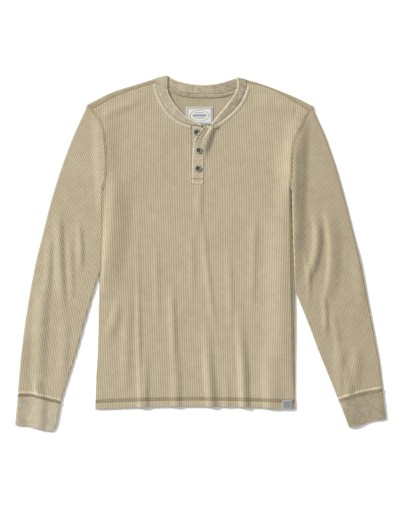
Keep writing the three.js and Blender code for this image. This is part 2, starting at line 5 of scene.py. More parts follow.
import bpy
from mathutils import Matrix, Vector, kdtree, noise
from mathutils.geometry import delaunay_2d_cdt


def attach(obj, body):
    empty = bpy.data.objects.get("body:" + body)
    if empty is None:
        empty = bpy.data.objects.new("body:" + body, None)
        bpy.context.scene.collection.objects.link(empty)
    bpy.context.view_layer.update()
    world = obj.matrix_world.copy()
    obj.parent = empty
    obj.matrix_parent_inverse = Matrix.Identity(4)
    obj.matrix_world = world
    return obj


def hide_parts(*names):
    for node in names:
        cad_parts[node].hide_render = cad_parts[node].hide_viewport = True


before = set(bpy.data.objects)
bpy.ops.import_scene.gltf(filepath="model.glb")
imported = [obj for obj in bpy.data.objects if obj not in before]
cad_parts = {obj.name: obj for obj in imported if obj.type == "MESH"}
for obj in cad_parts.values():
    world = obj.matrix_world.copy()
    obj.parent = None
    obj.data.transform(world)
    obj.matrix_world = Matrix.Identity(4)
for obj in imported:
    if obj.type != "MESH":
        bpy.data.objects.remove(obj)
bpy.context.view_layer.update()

# The table and the light. The shirt lies on a white table and is seen from straight above, as in a
# catalogue. A broad window light comes in low from the upper left and makes short shadows beside the
# ribs and folds, and a white room fills them.
CAMERA_LENS, SENSOR, VIEW_HEIGHT = 100, 36, 1.118
CAMERA_X, CAMERA_Y, SHIRT_MIDDLE_Z = 0.0166, -0.0150, 0.004
ROOM_WHITE, ROOM_STRENGTH = (1, 0.99, 0.97, 1), 0.55
TABLE_REACH, TABLE_WHITE, TABLE_ROUGHNESS = 3, (0.98, 0.98, 0.98, 1), 0.9
SUN_STRENGTH, SUN_BREADTH, SUN_COLOUR = 4.5, 0.22, (1, 0.985, 0.96)
SUN_WAY = Vector((1.0, -0.62, -0.56))

scene = bpy.context.scene
scene.view_settings.view_transform = "Standard"


def placed(name, data):
    made = bpy.data.objects.new(name, data)
    scene.collection.objects.link(made)
    return made


def new_material(name):
    material = bpy.data.materials.new(name)
    material.use_nodes = True
    return material


camera = placed("camera", bpy.data.cameras.new("camera"))
camera.data.lens = CAMERA_LENS
camera.data.sensor_fit = "VERTICAL"
camera.data.sensor_height = SENSOR
camera.location = (CAMERA_X, CAMERA_Y, SHIRT_MIDDLE_Z + VIEW_HEIGHT * CAMERA_LENS / SENSOR)
scene.camera = camera

room = bpy.data.worlds.new("white_room")
scene.world = room
room.use_nodes = True
room.node_tree.nodes["Background"].inputs["Color"].default_value = ROOM_WHITE
room.node_tree.nodes["Background"].inputs["Strength"].default_value = ROOM_STRENGTH

table = bpy.data.meshes.new("table")
corners = [(TABLE_REACH * x, TABLE_REACH * y, 0) for x, y in ((-1, -1), (1, -1), (1, 1), (-1, 1))]
table.from_pydata(corners, [], [(0, 1, 2, 3)])
table = placed("table", table)
white = new_material("white_table")
white.node_tree.nodes["Principled BSDF"].inputs["Base Color"].default_value = TABLE_WHITE
white.node_tree.nodes["Principled BSDF"].inputs["Roughness"].default_value = TABLE_ROUGHNESS
table.data.materials.append(white)

window = bpy.data.lights.new("window_light", "SUN")
window.energy = SUN_STRENGTH
window.angle = SUN_BREADTH
window.color = SUN_COLOUR
window = placed("window_light", window)
window.rotation_euler = SUN_WAY.to_track_quat("-Z", "Y").to_euler()


class Dye:
    """A value on its way through a material, which can be added, multiplied and so on."""

    def __init__(self, tree, socket=None):
        self.tree = tree
        self.socket = socket

    def node(self, kind, settings=None, inputs=None, output=0):
        made = self.tree.nodes.new(kind)
        for name, value in (settings or {}).items():
            setattr(made, name, value)
        self.fill(made, inputs or {})
        return Dye(self.tree, made.outputs[output])

    def fill(self, node, inputs):
        for name, value in inputs.items():
            if isinstance(value, Dye):
                self.tree.links.new(value.socket, node.inputs[name])
            else:
                node.inputs[name].default_value = value

    def sum(self, operation, *values, clamp=False):
        settings = {"operation": operation, "use_clamp": clamp}
        return self.node("ShaderNodeMath", settings, dict(enumerate(values)))

    def __add__(self, other):
        return self.sum("ADD", self, other)

    def __sub__(self, other):
        return self.sum("SUBTRACT", self, other)

    def __rsub__(self, other):
        return self.sum("SUBTRACT", other, self)

    def __mul__(self, other):
        return self.sum("MULTIPLY", self, other)

    def __truediv__(self, other):
        return self.sum("DIVIDE", self, other)

    __radd__ = __add__

    def most(self, other):
        return self.sum("MAXIMUM", self, other)

    def size(self):
        return self.sum("ABSOLUTE", self)

    def wave(self, beat):
        """A sine from 0 to 1, with so many radians for each unit of the value."""
        return self.sum("SINE", self * beat) * 0.5 + 0.5

    def over(self, low, high):
        """0 where the value is low or less, 1 where it is high or more."""
        inputs = {"Value": self, "From Min": low, "From Max": high}
        return self.node("ShaderNodeMapRange", {"interpolation_type": "SMOOTHSTEP"}, inputs)

    def mix(self, below, above):
        """The colour below where the value is 0, above where it is 1."""
        def paint(colour):
            return colour if isinstance(colour, Dye) else (*colour, 1)
        return self.node("ShaderNodeMix", {"data_type": "RGBA"},
                         {0: self, 6: paint(below), 7: paint(above)}, output=2)

    def speck(self, place, scale, detail=2, rough=0.55):
        inputs = {"Vector": place, "Scale": scale, "Detail": detail, "Roughness": rough}
        return self.node("ShaderNodeTexNoise", {}, inputs)

    def spot(self):
        """The place in the room, in metres."""
        return self.node("ShaderNodeNewGeometry")

    def layer(self, name):
        return self.node("ShaderNodeUVMap", {"uv_map": name})

    def split(self):
        """The first two values of a vector."""
        return [self.node("ShaderNodeSeparateXYZ", {}, {0: self}, output=k) for k in (0, 1)]

    def shade(self, values, relief, strength, depth):
        """Fills the shader's inputs. The relief is finer than any modelled form, its depth in metres."""
        bump = self.node("ShaderNodeBump", {},
                         {"Strength": strength, "Distance": depth, "Height": relief})
        self.fill(self.tree.nodes["Principled BSDF"], {**values, "Normal": bump})


# The back panel. One piece of rib knit that lies on the table with its ribs down. At each shoulder
# it comes over the fold to the front, where a short strip of it shows with slanted ribs, and inside
# the neck its plain side shows as fine upright ribs.
SHIFT_X, SHIFT_Y = -1.6987, 0.0082
SEAM_GAP = 0.3
BACK_WALL, FRONT_WALL, RIB_HEIGHT = 1.5, 1.3, 0.7
LAYER_REST = BACK_WALL + SEAM_GAP
BODY_RIB_PITCH, SHOULDER_RIB_PITCH, SHOULDER_RIB_SLANT = 3.9, 4.15, 0.36
HEM_Y, HEM_RISE, HEM_DOUBLING = -336, 6, 0.5
# The pattern is in millimetres. A side's or a rib's table gives y first and then x or a half breadth.
BODY_SIDES = {
    "left": [(-336, -224.7), (-264, -222.5), (-196, -218.2), (-110, -217.2), (-58, -213.9),
             (28, -210.7), (131, -209)],
    "right": [(-336, 205.3), (-264, 204.3), (-196, 205.3), (-110, 205.3), (-58, 204.3),
              (28, 201), (131, 198)],
}
RIB_MIDDLE = [(-345, -9.7), (-200, -6.5), (28, -4.9), (131, -3.5), (365, -1)]
RIB_HALF = [(-345, 215), (-200, 211.8), (28, 205.9), (131, 203.5), (365, 213)]
ARMHOLES = {
    "left": [(-241.9, 319.3), (-223, 300), (-210.5, 281.7), (-204, 258), (-199.3, 212),
             (-199.5, 170), (-204, 144), (-209, 131)],
    "right": [(244, 316), (228.5, 297), (217.5, 272), (205.5, 250), (198.4, 219), (196.3, 172),
              (197.2, 144), (198, 131)],
}
SHOULDER_FOLDS = {
    "left": [(-241.9, 319.3), (-188, 346.2), (-134.4, 363.4), (-93, 376.4)],
    "right": [(244, 316), (201, 337.6), (134.4, 363.4), (102, 373)],
}
SHOULDER_SEAMS = {
    "left": [(-232, 309.5), (-166.6, 341.9), (-92.2, 366.5)],
    "right": [(233, 307.5), (159.3, 350.5), (102.2, 366)],
}
# A band's rows give the points of its inner and its outer edge.
BAND_FRONT_LEFT = [
    ((4.5, 275.4), (3, 272)), ((-11.4, 284), (-19, 275)), ((-28.6, 294.1), (-40, 282.3)),
    ((-44.5, 310), (-61.5, 298.3)), ((-58.9, 328.7), (-77.6, 319.9)),
    ((-67.6, 348), (-87.5, 341.5)), ((-69, 364.6), (-91.8, 360.3)),
]
BAND_BACK = [
    ((-56, 374.7), (-76, 362.5)), ((-41.6, 369), (-52, 349.8)), ((-20, 364.6), (-24, 343.2)),
    ((5.9, 362.5), (5.9, 341.6)), ((30.4, 364), (36, 342)), ((52, 368.3), (60, 345.6)),
    ((66.4, 373.3), (84, 356)),
]
BAND_FRONT_RIGHT = [
    ((81.8, 365), (102, 361)), ((79.5, 350), (97, 344)), ((70.5, 334), (86.6, 322.9)),
    ((57, 316.6), (70.7, 304.2)), ((44, 300.6), (54.5, 290.5)), ((33, 287), (41.9, 281.2)),
    ((25, 276.6), (29.8, 273.8)),
]
BAND_FOLDS = {"left": ((-68.3, 380.7), (-92.6, 375.2)), "right": ((79, 376.5), (100.6, 371.1))}
SIDES = {"left": 1, "right": -1}


def place(x, y, z):
    """A point of the paper pattern, in millimetres, in the frame of the whole shirt."""
    return Vector(((x + SHIFT_X) / 1000, (y + SHIFT_Y) / 1000, z / 1000))


def lookup(table, y):
    high = min(max(bisect.bisect_left([row[0] for row in table], y), 1), len(table) - 1)
    (y0, v0), (y1, v1) = table[high - 1], table[high]
    return v0 + (v1 - v0) * (y - y0) / (y1 - y0)


def smooth(share):
    t = min(1, max(0, share))
    return t * t * (3 - 2 * t)


def curve(points, step=2.0):
    """A smooth line through the points, with a point at every step."""
    line = [Vector(p) for p in points]
    line = [line[0], *line, line[-1]]
    fine = []
    for a, b, c, d in zip(line, line[1:], line[2:], line[3:]):
        for k in range(24):
            t = k / 24
            fine.append(0.5 * (2 * b + (c - a) * t + (2 * a - 5 * b + 4 * c - d) * t * t
                               + (3 * b - a - 3 * c + d) * t ** 3))
    fine.append(line[-1])
    return evenly(fine, step)


def evenly(line, step):
    line = [Vector(p) for p in line]
    reach = [0]
    for a, b in zip(line, line[1:]):
        reach.append(reach[-1] + (b - a).length)
    count = max(1, round(reach[-1] / step))
    made = []
    for k in range(count + 1):
        goal = reach[-1] * k / count
        i = min(max(bisect.bisect_left(reach, goal), 1), len(line) - 1)
        gap = reach[i] - reach[i - 1]
        made.append(line[i - 1].lerp(line[i], (goal - reach[i - 1]) / gap if gap else 0))
    return made


def heading(line, i):
    """The way in which a line runs at one of its points."""
    return (line[min(i + 1, len(line) - 1)] - line[max(i - 1, 0)]).normalized()


def right_of(way):
    return Vector((way.y, -way.x))


def inset(ring, distance):
    """The ring moved inwards by the same distance everywhere."""
    area = sum(a.x * b.y - b.x * a.y for a, b in zip(ring, ring[1:] + ring[:1]))
    turn = 1 if area > 0 else -1
    made = []
    for i, p in enumerate(ring):
        before = (p - ring[i - 1]).normalized()
        after = (ring[(i + 1) % len(ring)] - p).normalized()
        mean = Vector((-before.y - after.y, before.x + after.x)) * turn
        mean = mean.normalized() if mean.length > 1e-6 else Vector((-before.y, before.x)) * turn
        side = Vector((-before.y, before.x)) * turn
        made.append(p + mean * distance / max(0.5, mean.dot(side)))
    return made


def within(p, ring):
    odd = False
    for i, b in enumerate(ring):
        a = ring[i - 1]
        if (a.y > p.y) != (b.y > p.y) and p.x < a.x + (p.y - a.y) / (b.y - a.y) * (b.x - a.x):
            odd = not odd
    return odd


def tree_of(points):
    tree = kdtree.KDTree(len(points))
    for i, p in enumerate(points):
        tree.insert((p[0], p[1], 0), i)
    tree.balance()
    return tree


class Cut:
    """A flat cut piece: triangles inside its outline, with the lines of its knit as edges."""

    def __init__(self, edges, lines, insets=(0.5, 1.4)):
        ring, self.kinds = [], {}
        for kind, points in edges:
            points = [Vector(p) for p in points]
            runs = self.kinds.setdefault(kind, [])
            for a, b in zip(points, points[1:]):
                count = max(1, math.ceil((b - a).length / 2))
                runs += [(a.lerp(b, k / count), a, b) for k in range(count + 1)]
            ring += [p for p in points if not ring or (p - ring[-1]).length > 0.05]
        if (ring[0] - ring[-1]).length < 0.05:
            ring.pop()
        points, links = [], []
        for distance in insets:
            closed = [p for p in inset(ring, distance) if within(p, ring)]
            first = len(points)
            points += closed
            links += [(first + i, first + (i + 1) % len(closed)) for i in range(len(closed))]
        for line in lines:
            first = len(points)
            points += [Vector(p) for p in line]
            links += [(i, i + 1) for i in range(first, len(points) - 1)]
        loop = list(range(len(points), len(points) + len(ring)))
        points += ring
        links += list(zip(loop, loop[1:] + loop[:1]))
        spots, _, faces, _, _, _ = delaunay_2d_cdt(points, links, [loop], 1, 1e-6)
        used = sorted({i for face in faces for i in face})
        order = {old: new for new, old in enumerate(used)}
        self.spots = [spots[i] for i in used]
        self.faces = [tuple(order[i] for i in face) for face in faces]
        turned = sum((self.spots[b] - self.spots[a]).cross(self.spots[c] - self.spots[a])
                     for a, b, c in self.faces)
        if turned < 0:
            self.faces = [face[::-1] for face in self.faces]
        seen = {}
        for face in self.faces:
            for a, b in zip(face, face[1:] + face[:1]):
                seen[(a, b)] = seen.get((a, b), 0) + 1
        self.rim = [(a, b) for a, b in seen if (b, a) not in seen]
        self.near = {}
        for kind, runs in self.kinds.items():
            tree = tree_of([spot for spot, _, _ in runs])
            self.near[kind] = [self.measured(p, runs, tree) for p in self.spots]

    @staticmethod
    def measured(p, runs, tree):
        """The distance from a spot to the nearest of an edge's straight runs."""
        best = 1e9
        for _, at, rough in tree.find_n((p.x, p.y, 0), 3):
            _, a, b = runs[at]
            if rough > 12:
                return rough
            way = b - a
            share = min(1, max(0, (p - a).dot(way) / way.length_squared))
            best = min(best, (p - a - way * share).length)
        return best

    def distance(self, i, *kinds):
        return min((self.near[kind][i] for kind in kinds if kind in self.near), default=99)


def roll(distance, radius, drop):
    """How far a rounded edge has come down at this distance from it."""
    if distance >= radius:
        return 0
    return drop * (1 - math.sqrt(max(0, 1 - (1 - distance / radius) ** 2)))


def piece_mesh(name, points, faces, layers):
    """An object from points in pattern millimetres, with a UV map for each layer."""
    mesh = bpy.data.meshes.new(name)
    mesh.from_pydata([place(*p) for p in points], [], faces)
    for layer, values in layers.items():
        uv = mesh.uv_layers.new(name=layer)
        flat = [0.0] * (2 * len(mesh.loops))
        for i, loop in enumerate(mesh.loops):
            flat[2 * i], flat[2 * i + 1] = values[loop.vertex_index]
        uv.data.foreach_set("uv", flat)
    mesh.polygons.foreach_set("use_smooth", [True] * len(mesh.polygons))
    mesh.update()
    return placed(name, mesh)


def outward(points, faces):
    """The faces turned so that the closed mesh has a positive volume."""
    volume = 0
    for face in faces:
        a = Vector(points[face[0]])
        for i, j in zip(face[1:], face[2:]):
            volume += a.dot(Vector(points[i]).cross(Vector(points[j])))
    return faces if volume > 0 else [face[::-1] for face in faces]


def two_faced(cut, top, bottom):
    """Points and faces of a closed sheet between a top and a bottom height for each spot."""
    count = len(cut.spots)
    points = [(p.x, p.y, top[i]) for i, p in enumerate(cut.spots)]
    points += [(p.x, p.y, bottom[i]) for i, p in enumerate(cut.spots)]
    faces = list(cut.faces) + [tuple(count + i for i in face[::-1]) for face in cut.faces]
    faces += [(b, a, count + a, count + b) for a, b in cut.rim]
    return points, faces


def flat_area(cut):
    return sum(abs((cut.spots[b] - cut.spots[a]).cross(cut.spots[c] - cut.spots[a])) / 2
               for a, b, c in cut.faces) / 1e6


def hem_edge(x):
    return HEM_Y + HEM_RISE * (1 - ((x - RIB_MIDDLE[0][1]) / RIB_HALF[0][1]) ** 2)


def near_hem(y):
    return smooth((-200 - y) / 100)


def hem_rise(x, y):
    return (hem_edge(x) - HEM_Y) * near_hem(y)


def on_body(u, v):
    x = lookup(RIB_MIDDLE, v) + u * lookup(RIB_HALF, v) / RIB_HALF[0][1]
    return x, v + hem_rise(x, v)


def body_knit(x, y):
    """The rib count and the length along the rib at a place on the front or the back."""
    v = y - hem_rise(x, y - 3 * near_hem(y))
    u = (x - lookup(RIB_MIDDLE, v)) * RIB_HALF[0][1] / lookup(RIB_HALF, v)
    return u / BODY_RIB_PITCH, v


def rib_wave(count):
    return 0.5 + 0.5 * math.cos(2 * math.pi * count)


def body_lines(step, rows):
    us = [k * BODY_RIB_PITCH / step for k in range(-60 * step, 60 * step + 1)]
    return [[on_body(u, v) for v in rows] for u in us]


def outer_line(rows):
    return curve([outer for _, outer in rows], 1.2)


armhole = {side: curve(ARMHOLES[side]) for side in SIDES}
shoulder_fold = {side: curve(SHOULDER_FOLDS[side]) for side in SIDES}
shoulder_seam = {side: curve(SHOULDER_SEAMS[side]) for side in SIDES}
HEM_STEP, HEM_STEPS = 4, 108
hem_xs = [BODY_SIDES["left"][0][1] + HEM_STEP * k for k in range(HEM_STEPS)]
hem_line = [Vector((x, hem_edge(x))) for x in [*hem_xs, BODY_SIDES["right"][0][1]]]


def side_points(side):
    return evenly([(x, y) for y, x in BODY_SIDES[side]], 6)


def dressed(piece, material, slot, *nodes):
    """Gives a piece its finish, and hides the solids that it stands for."""
    piece.data.materials.append(material)
    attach(piece, "root")
    if nodes:
        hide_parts(*nodes)


KNIT_SHADE, KNIT_PALE, WORN_EDGE = (0.31, 0.253, 0.158), (0.60, 0.53, 0.390), (0.69, 0.635, 0.52)
SEAM_OLIVE, SEAM_PALE = (0.225, 0.178, 0.10), (0.31, 0.255, 0.155)
ARMHOLE_OLIVE, ARMHOLE_PALE = (0.29, 0.232, 0.138), (0.45, 0.375, 0.24)
JERSEY_SHADE, JERSEY_PALE = (0.25, 0.205, 0.135), (0.56, 0.50, 0.38)


def knit_finish(name, shade=KNIT_SHADE, pale=KNIT_PALE, ribs=1.0, clouds=0.22, mottles=0.35,
                pale_width=2.2, loops=1.0, wear=0.55, patches=60, tone=0.0, drift=0.0, crisp=0.0):
    """Garment-dyed cotton: rib crests painted pale and furrows painted dark as painted shade, olive seams
    and worn edges.

    The layer "cloth" holds the rib count and the length along the rib, and "edge" the distances in
    millimetres from a seam and from a free edge. Tone makes all of it lighter. Drift makes it lighter to
    the right, and where it is negative it is painted shade that deepens to the right. Crisp paints the
    crests paler and the furrows darker beside a seam, as stronger painted shade.
    """
    material = new_material(name)
    dye = Dye(material.node_tree)
    cloth, spot = dye.layer("cloth"), dye.spot()
    across, along = cloth.split()
    seam, free = dye.layer("edge").split()
    crest = dye.sum("COSINE", across * (2 * math.pi)) * 0.5 + 0.5
    cloud = dye.speck(spot, 9, 3)
    mottle = dye.speck(spot, patches, 3, 0.6)
    fleck = dye.speck(spot, 900, 2, 0.6)
    yarn = dye.node("ShaderNodeTexNoise", {"noise_dimensions": "2D"}, {
        "Vector": dye.node("ShaderNodeVectorMath", {"operation": "MULTIPLY"},
                           {0: cloth, 1: (1.0, 4.0, 0)}),
        "Scale": 2.2, "Detail": 2.0, "Roughness": 0.6})
    # Painted shade: the furrows between the ribs are painted darker and the crests paler, as light falling
    # across the ribs would shade them.
    depth = crest * ribs + (1 - ribs)
    sideways, _ = spot.split()
    # Painted shade: beside a seam the crests are painted paler still and the furrows darker.
    seam_rib_shade = (1 - seam.over(5, 16)) * crisp
    # Painted shade: sideways * drift darkens the colour towards the right where drift is negative, as for
    # cloth turned away from the light.
    light = (depth * 0.52 + (crest - 0.5) * seam_rib_shade + (mottle - 0.5) * mottles
             + (cloud - 0.5) * clouds + (fleck - 0.5) * 0.7 + (yarn - 0.5) * 0.7 + sideways * drift
             + (0.08 + tone))
    base = light.over(-0.25, 1.05).mix(shade, pale)
    paler_edge = (1 - free.over(0.3, pale_width)) * (wear + (mottle - 0.5) * 1.6 + (fleck - 0.5) * 0.8)
    base = paler_edge.sum("MINIMUM", paler_edge, 0.9, clamp=True).mix(base, WORN_EDGE)
    dark = (1 - seam.over(-0.5, 0.7)) * (0.66 + (mottle - 0.5) * 0.8 + (fleck - 0.5) * 0.6)
    base = dark.sum("MAXIMUM", dark, 0.0, clamp=True).mix(base, SEAM_OLIVE)
    loop_wave = dye.sum("SINE", along * 3.6) * dye.sum("SINE", across * (8 * math.pi))
    dye.shade({"Base Color": base, "Roughness": 0.93, "Specular IOR Level": 0.22,
               "Sheen Weight": 0.18, "Sheen Roughness": 0.45},
              fleck * 0.6 + loop_wave * (0.25 * loops), 0.5, 0.0004)
    return material


rib_knit = knit_finish("washed_rib_knit")
back_band = curve([BAND_FOLDS["left"][1], *[row[1] for row in BAND_BACK], BAND_FOLDS["right"][1]])
back_rows = [-345 + 14 * k for k in range(53)]
SHIRT_MIDDLE = Vector((0, 150))


def tucked(line, distance):
    """The line moved towards the middle of the shirt, to lie inside the cloth that folds over it."""
    made = []
    for i, p in enumerate(line):
        side = right_of(heading(line, i))
        made.append(p + side * distance * (1 if side.dot(SHIRT_MIDDLE - p) > 0 else -1))
    return made


back_cut = Cut([("hem", hem_line), ("side", tucked(side_points("right"), 1.6)),
                ("armhole", armhole["right"][::-1]), ("fold", tucked(shoulder_fold["right"], 1.4)),
                ("neck", back_band[::-1]), ("fold", tucked(shoulder_fold["left"], 1.4)[::-1]),
                ("armhole", armhole["left"]), ("side", tucked(side_points("left"), 1.6)[::-1])],
               body_lines(3, back_rows))
tops, bottoms, knit, edges = [], [], [], []
for i, p in enumerate(back_cut.spots):
    count, length = body_knit(p.x, p.y)
    side = back_cut.distance(i, "side", "hem", "armhole", "fold")
    shown = smooth((62 - abs(p.x - 4)) / 14) * smooth((p.y - 258) / 12)
    tops.append(BACK_WALL - roll(side, 1.4, 0.5) - 0.45 * shown * (1 - rib_wave(count)))
    bottoms.append(0.5 * (1 - rib_wave(count)) + roll(side, 1.4, 0.7) * 0.6)
    knit.append((count, length))
    edges.append((40, back_cut.distance(i, "hem", "armhole")))
points, faces = two_faced(back_cut, tops, bottoms)
back = piece_mesh("back_panel_knit", points, faces, {"cloth": knit * 2, "edge": edges * 2})


def join(first, *others):
    with bpy.context.temp_override(active_object=first, object=first,
                                   selected_editable_objects=[first, *others]):
        bpy.ops.object.join()


def wrap_lines(side):
    fold = evenly(shoulder_fold[side], SHOULDER_RIB_PITCH / 4)
    lines = []
    for k in range(-28, len(fold) + 28):
        i = min(max(k, 0), len(fold) - 1)
        way = heading(fold, i)
        start = fold[i] + way * (k - i) * SHOULDER_RIB_PITCH / 4
        inward = right_of(way) * SIDES[side]
        lines.append([start + (inward + way * SHOULDER_RIB_SLANT) * depth
                      for depth in (-2, 0.6, 1.6, 3, 6, 10, 16)])
    return lines


SHOULDER_STRIP = 3.8
for side in SIDES:
    lines = wrap_lines(side)
    seam = shoulder_seam[side]
    fold = shoulder_fold[side]
    cut = Cut([("fold", fold), ("neck", [fold[-1], seam[-1]]), ("seam", seam[::-1]),
               ("armhole", [seam[0], fold[0]])], lines, insets=(0.35, 1.1, 2.4, 3.6, 4.2))
    tops, bottoms, knit, edges = [], [], [], []
    spots = [(q.x, q.y, k) for k, line in enumerate(lines) for q in evenly(line, 0.8)]
    tree = tree_of(spots)
    for i, p in enumerate(cut.spots):
        _, at, _ = tree.find((p.x, p.y, 0))
        count = spots[at][2] / 4
        fold_near, seam_near = cut.distance(i, "fold"), cut.distance(i, "seam")
        flat = smooth(seam_near - SHOULDER_STRIP + 0.5)
        top = LAYER_REST + FRONT_WALL + RIB_HEIGHT * (0.55 + (rib_wave(count) - 0.55) * flat)
        top -= 0.4 * smooth(1 - abs(seam_near - SHOULDER_STRIP) / 0.7)
        tops.append(max(0.3, top - max(roll(fold_near, 2.6, 3.3), roll(seam_near, 1.3, 0.9))))
        bottoms.append(max(0.05, min(LAYER_REST - roll(fold_near, 1.4, 1.6), tops[-1] - 0.15)))
        knit.append((count, fold_near))
        edges.append((seam_near - SHOULDER_STRIP + 3.4, 40))
    points, faces = two_faced(cut, tops, bottoms)
    wrap = piece_mesh("shoulder_wrap", points, faces, {"cloth": knit * 2, "edge": edges * 2})
    join(back, wrap)
# Painted shade: the back's knit, with its shoulder strips, is painted darker all over (tone -0.14),
# standing in for the collar's shadow inside the neck.
dressed(back, knit_finish("back_knit_painted_shade", tone=-0.14), "rib_knit", "back_panel")

# The front panel. One piece of the same knit with its ribs up, cut for the neck, both armholes and
# the placket's slot. Its hem is turned up and sewn with two rows. It lies a little off the back,
# and low folds run up from the hem.
BODY_FOLDS = [
    ((-119, -345), (-118, -190), (16, 14), 3.0, 0), ((-50, -345), (-54, -165), (18, 15), 2.6, 2),
    ((27, -345), (14, -110), (15, 18), 4.2, -3), ((96, -345), (78, -75), (15, 18), 4.6, 3),
    ((153, -345), (138, -180), (20, 34), 3.6, 2), ((-128, -345), (-135, 110), (9, 9), 1.6, 0),
    ((-62, -60), (-55, -270), (13, 12), 2.2, 2), ((-174, 196), (-210, -112), (26, 46), 5.0, 2),
    ((198, 262), (196, 40), (40, 16), 5.6, 0), ((180, 150), (170, -360), (44, 24), 4.2, 2),
    ((204, 150), (194, -360), (24, 20), 3.2, 2),
    ((-170, -84), (-204, -200), (16, 20), 2.2, 4), ((6, 90), (40, -200), (12, 10), 1.3, -4),
    ((2, 172), (-1, 50), (15, 12), 1.5, 0), ((115, 332), (222, 298), (18, 12), 2.8, 0),
    ((-218, 292), (-108, 336), (16, 12), 2.2, 0), ((60, 20), (66, -200), (12, 12), 1.2, 3),
    ((-92, 30), (-88, -180), (12, 12), 1.0, -2), ((-20, 60), (-16, -120), (12, 12), 0.9, 2),
    ((120, 110), (112, -150), (14, 12), 1.3, 0), ((-150, -60), (-158, -330), (18, 16), 1.8, -3),
    ((60, -345), (56, -230), (12, 12), 1.2, 0), ((2, 200), (37, 312), (8, 15), 5.4, 0),
]
ARMHOLE_RIDGES = {"left": [((-217, 330), (-202, 40), (22, 48), 4.0, 0)],
                  "right": [((215, 340), (202, -50), (34, 27), 6.4, 0)]}
SLOT_LEFT, SLOT_RIGHT, SLOT_BOTTOM, SLOT_TOP = -16.8, 9.1, 148, 274.2
# The overlap's rows give y, its left and right edge and how far it is lifted there.
OVERLAP_ROWS = [
    (148.4, -16.4, 8.8, 0), (160, -16.4, 8.8, 0), (200, -15.6, 8.8, 0), (229.4, -13.1, 10.4, 0.3),
    (237, -11, 11.6, 1.0), (247.5, -7.7, 15.8, 2.5), (256, -2.4, 20.5, 2.9),
    (262.5, 4.1, 24.4, 3.0), (272.2, 10, 28.8, 2.7),
]
FRONT_LIFT, UNDER_HEM = 0.8, -340


def fold_height(folds, x, y):
    """The height of all folds at a place.

    A fold is its two ends, its breadth on either side, its height and how far it bends aside. One
    that starts under the hem keeps its full height there.
    """
    height = 0
    for (fx, fy), (tx, ty), breadths, crest, bend in folds:
        dx, dy = tx - fx, ty - fy
        length = math.hypot(dx, dy)
        along = ((x - fx) * dx + (y - fy) * dy) / length ** 2
        if not 0 < along < 1 and not (fy < UNDER_HEM and along <= 0):
            continue
        across = ((x - fx) * dy - (y - fy) * dx) / length * (1 if dy > 0 else -1)
        across -= bend * 4 * along * (1 - along)
        breadth = breadths[1] if across > 0 else breadths[0]
        if abs(across) >= breadth:
            continue
        start, end = (1, 0.75) if fy < UNDER_HEM else (smooth(along / 0.3), 0.4)
        height += crest * smooth(1 - abs(across) / breadth) * start * smooth((1 - along) / end)
    return height


def front_inside(x, y):
    inward = 1 - abs(x - lookup(RIB_MIDDLE, y)) / lookup(RIB_HALF, y)
    ridges = ARMHOLE_RIDGES["left" if x < 0 else "right"]
    return (LAYER_REST + FRONT_LIFT * smooth(inward / 0.12)
            + fold_height(BODY_FOLDS, x, y) * smooth(inward / 0.045)
            + fold_height(ridges, x, y) * smooth((y - (30 if x < 0 else 100)) / 70))


def cut_below(line, y):
    return [p for p in line if p.y < y]


band_left = outer_line([*BAND_FRONT_LEFT, BAND_FOLDS["left"]])
band_right = outer_line([BAND_FOLDS["right"], *BAND_FRONT_RIGHT])
slot_right = evenly([(right + SEAM_GAP, y) for y, _, right, _ in OVERLAP_ROWS[::-1]][:-1], 3)
slot = [*slot_right, Vector((SLOT_RIGHT, SLOT_BOTTOM)), Vector((SLOT_LEFT, SLOT_BOTTOM)),
        Vector((SLOT_LEFT, SLOT_TOP))]
reached = {side: cut_below(armhole[side], shoulder_seam[side][0].y) for side in SIDES}
front_edges = [
    ("hem", hem_line), ("side", side_points("right")), ("armhole", reached["right"][::-1]),
    ("shoulder", shoulder_seam["right"]),
    ("neck", cut_below(band_right, shoulder_seam["right"][-1].y - 1)),
    ("slot", slot), ("neck", [p for p in band_left if p.x < SLOT_LEFT - 1
                              and p.y < shoulder_seam["left"][-1].y - 1]),
    ("shoulder", shoulder_seam["left"][::-1]), ("armhole", reached["left"]),
    ("side", side_points("left")[::-1]),
]
HEM_BAND = (-323.2, -316.2)
front_rows = [-345, -336, -330, -325, -323.9, -323.2, -322.3, -319.7, -317.1, -316.2, -315.5, -314,
              -309, *[-302 + 8.5 * k for k in range(80)]]
front_cut = Cut(front_edges, body_lines(4, front_rows), insets=(0.5, 1.3, 2.4))
tops, bottoms, knit, edges = [], [], [], []
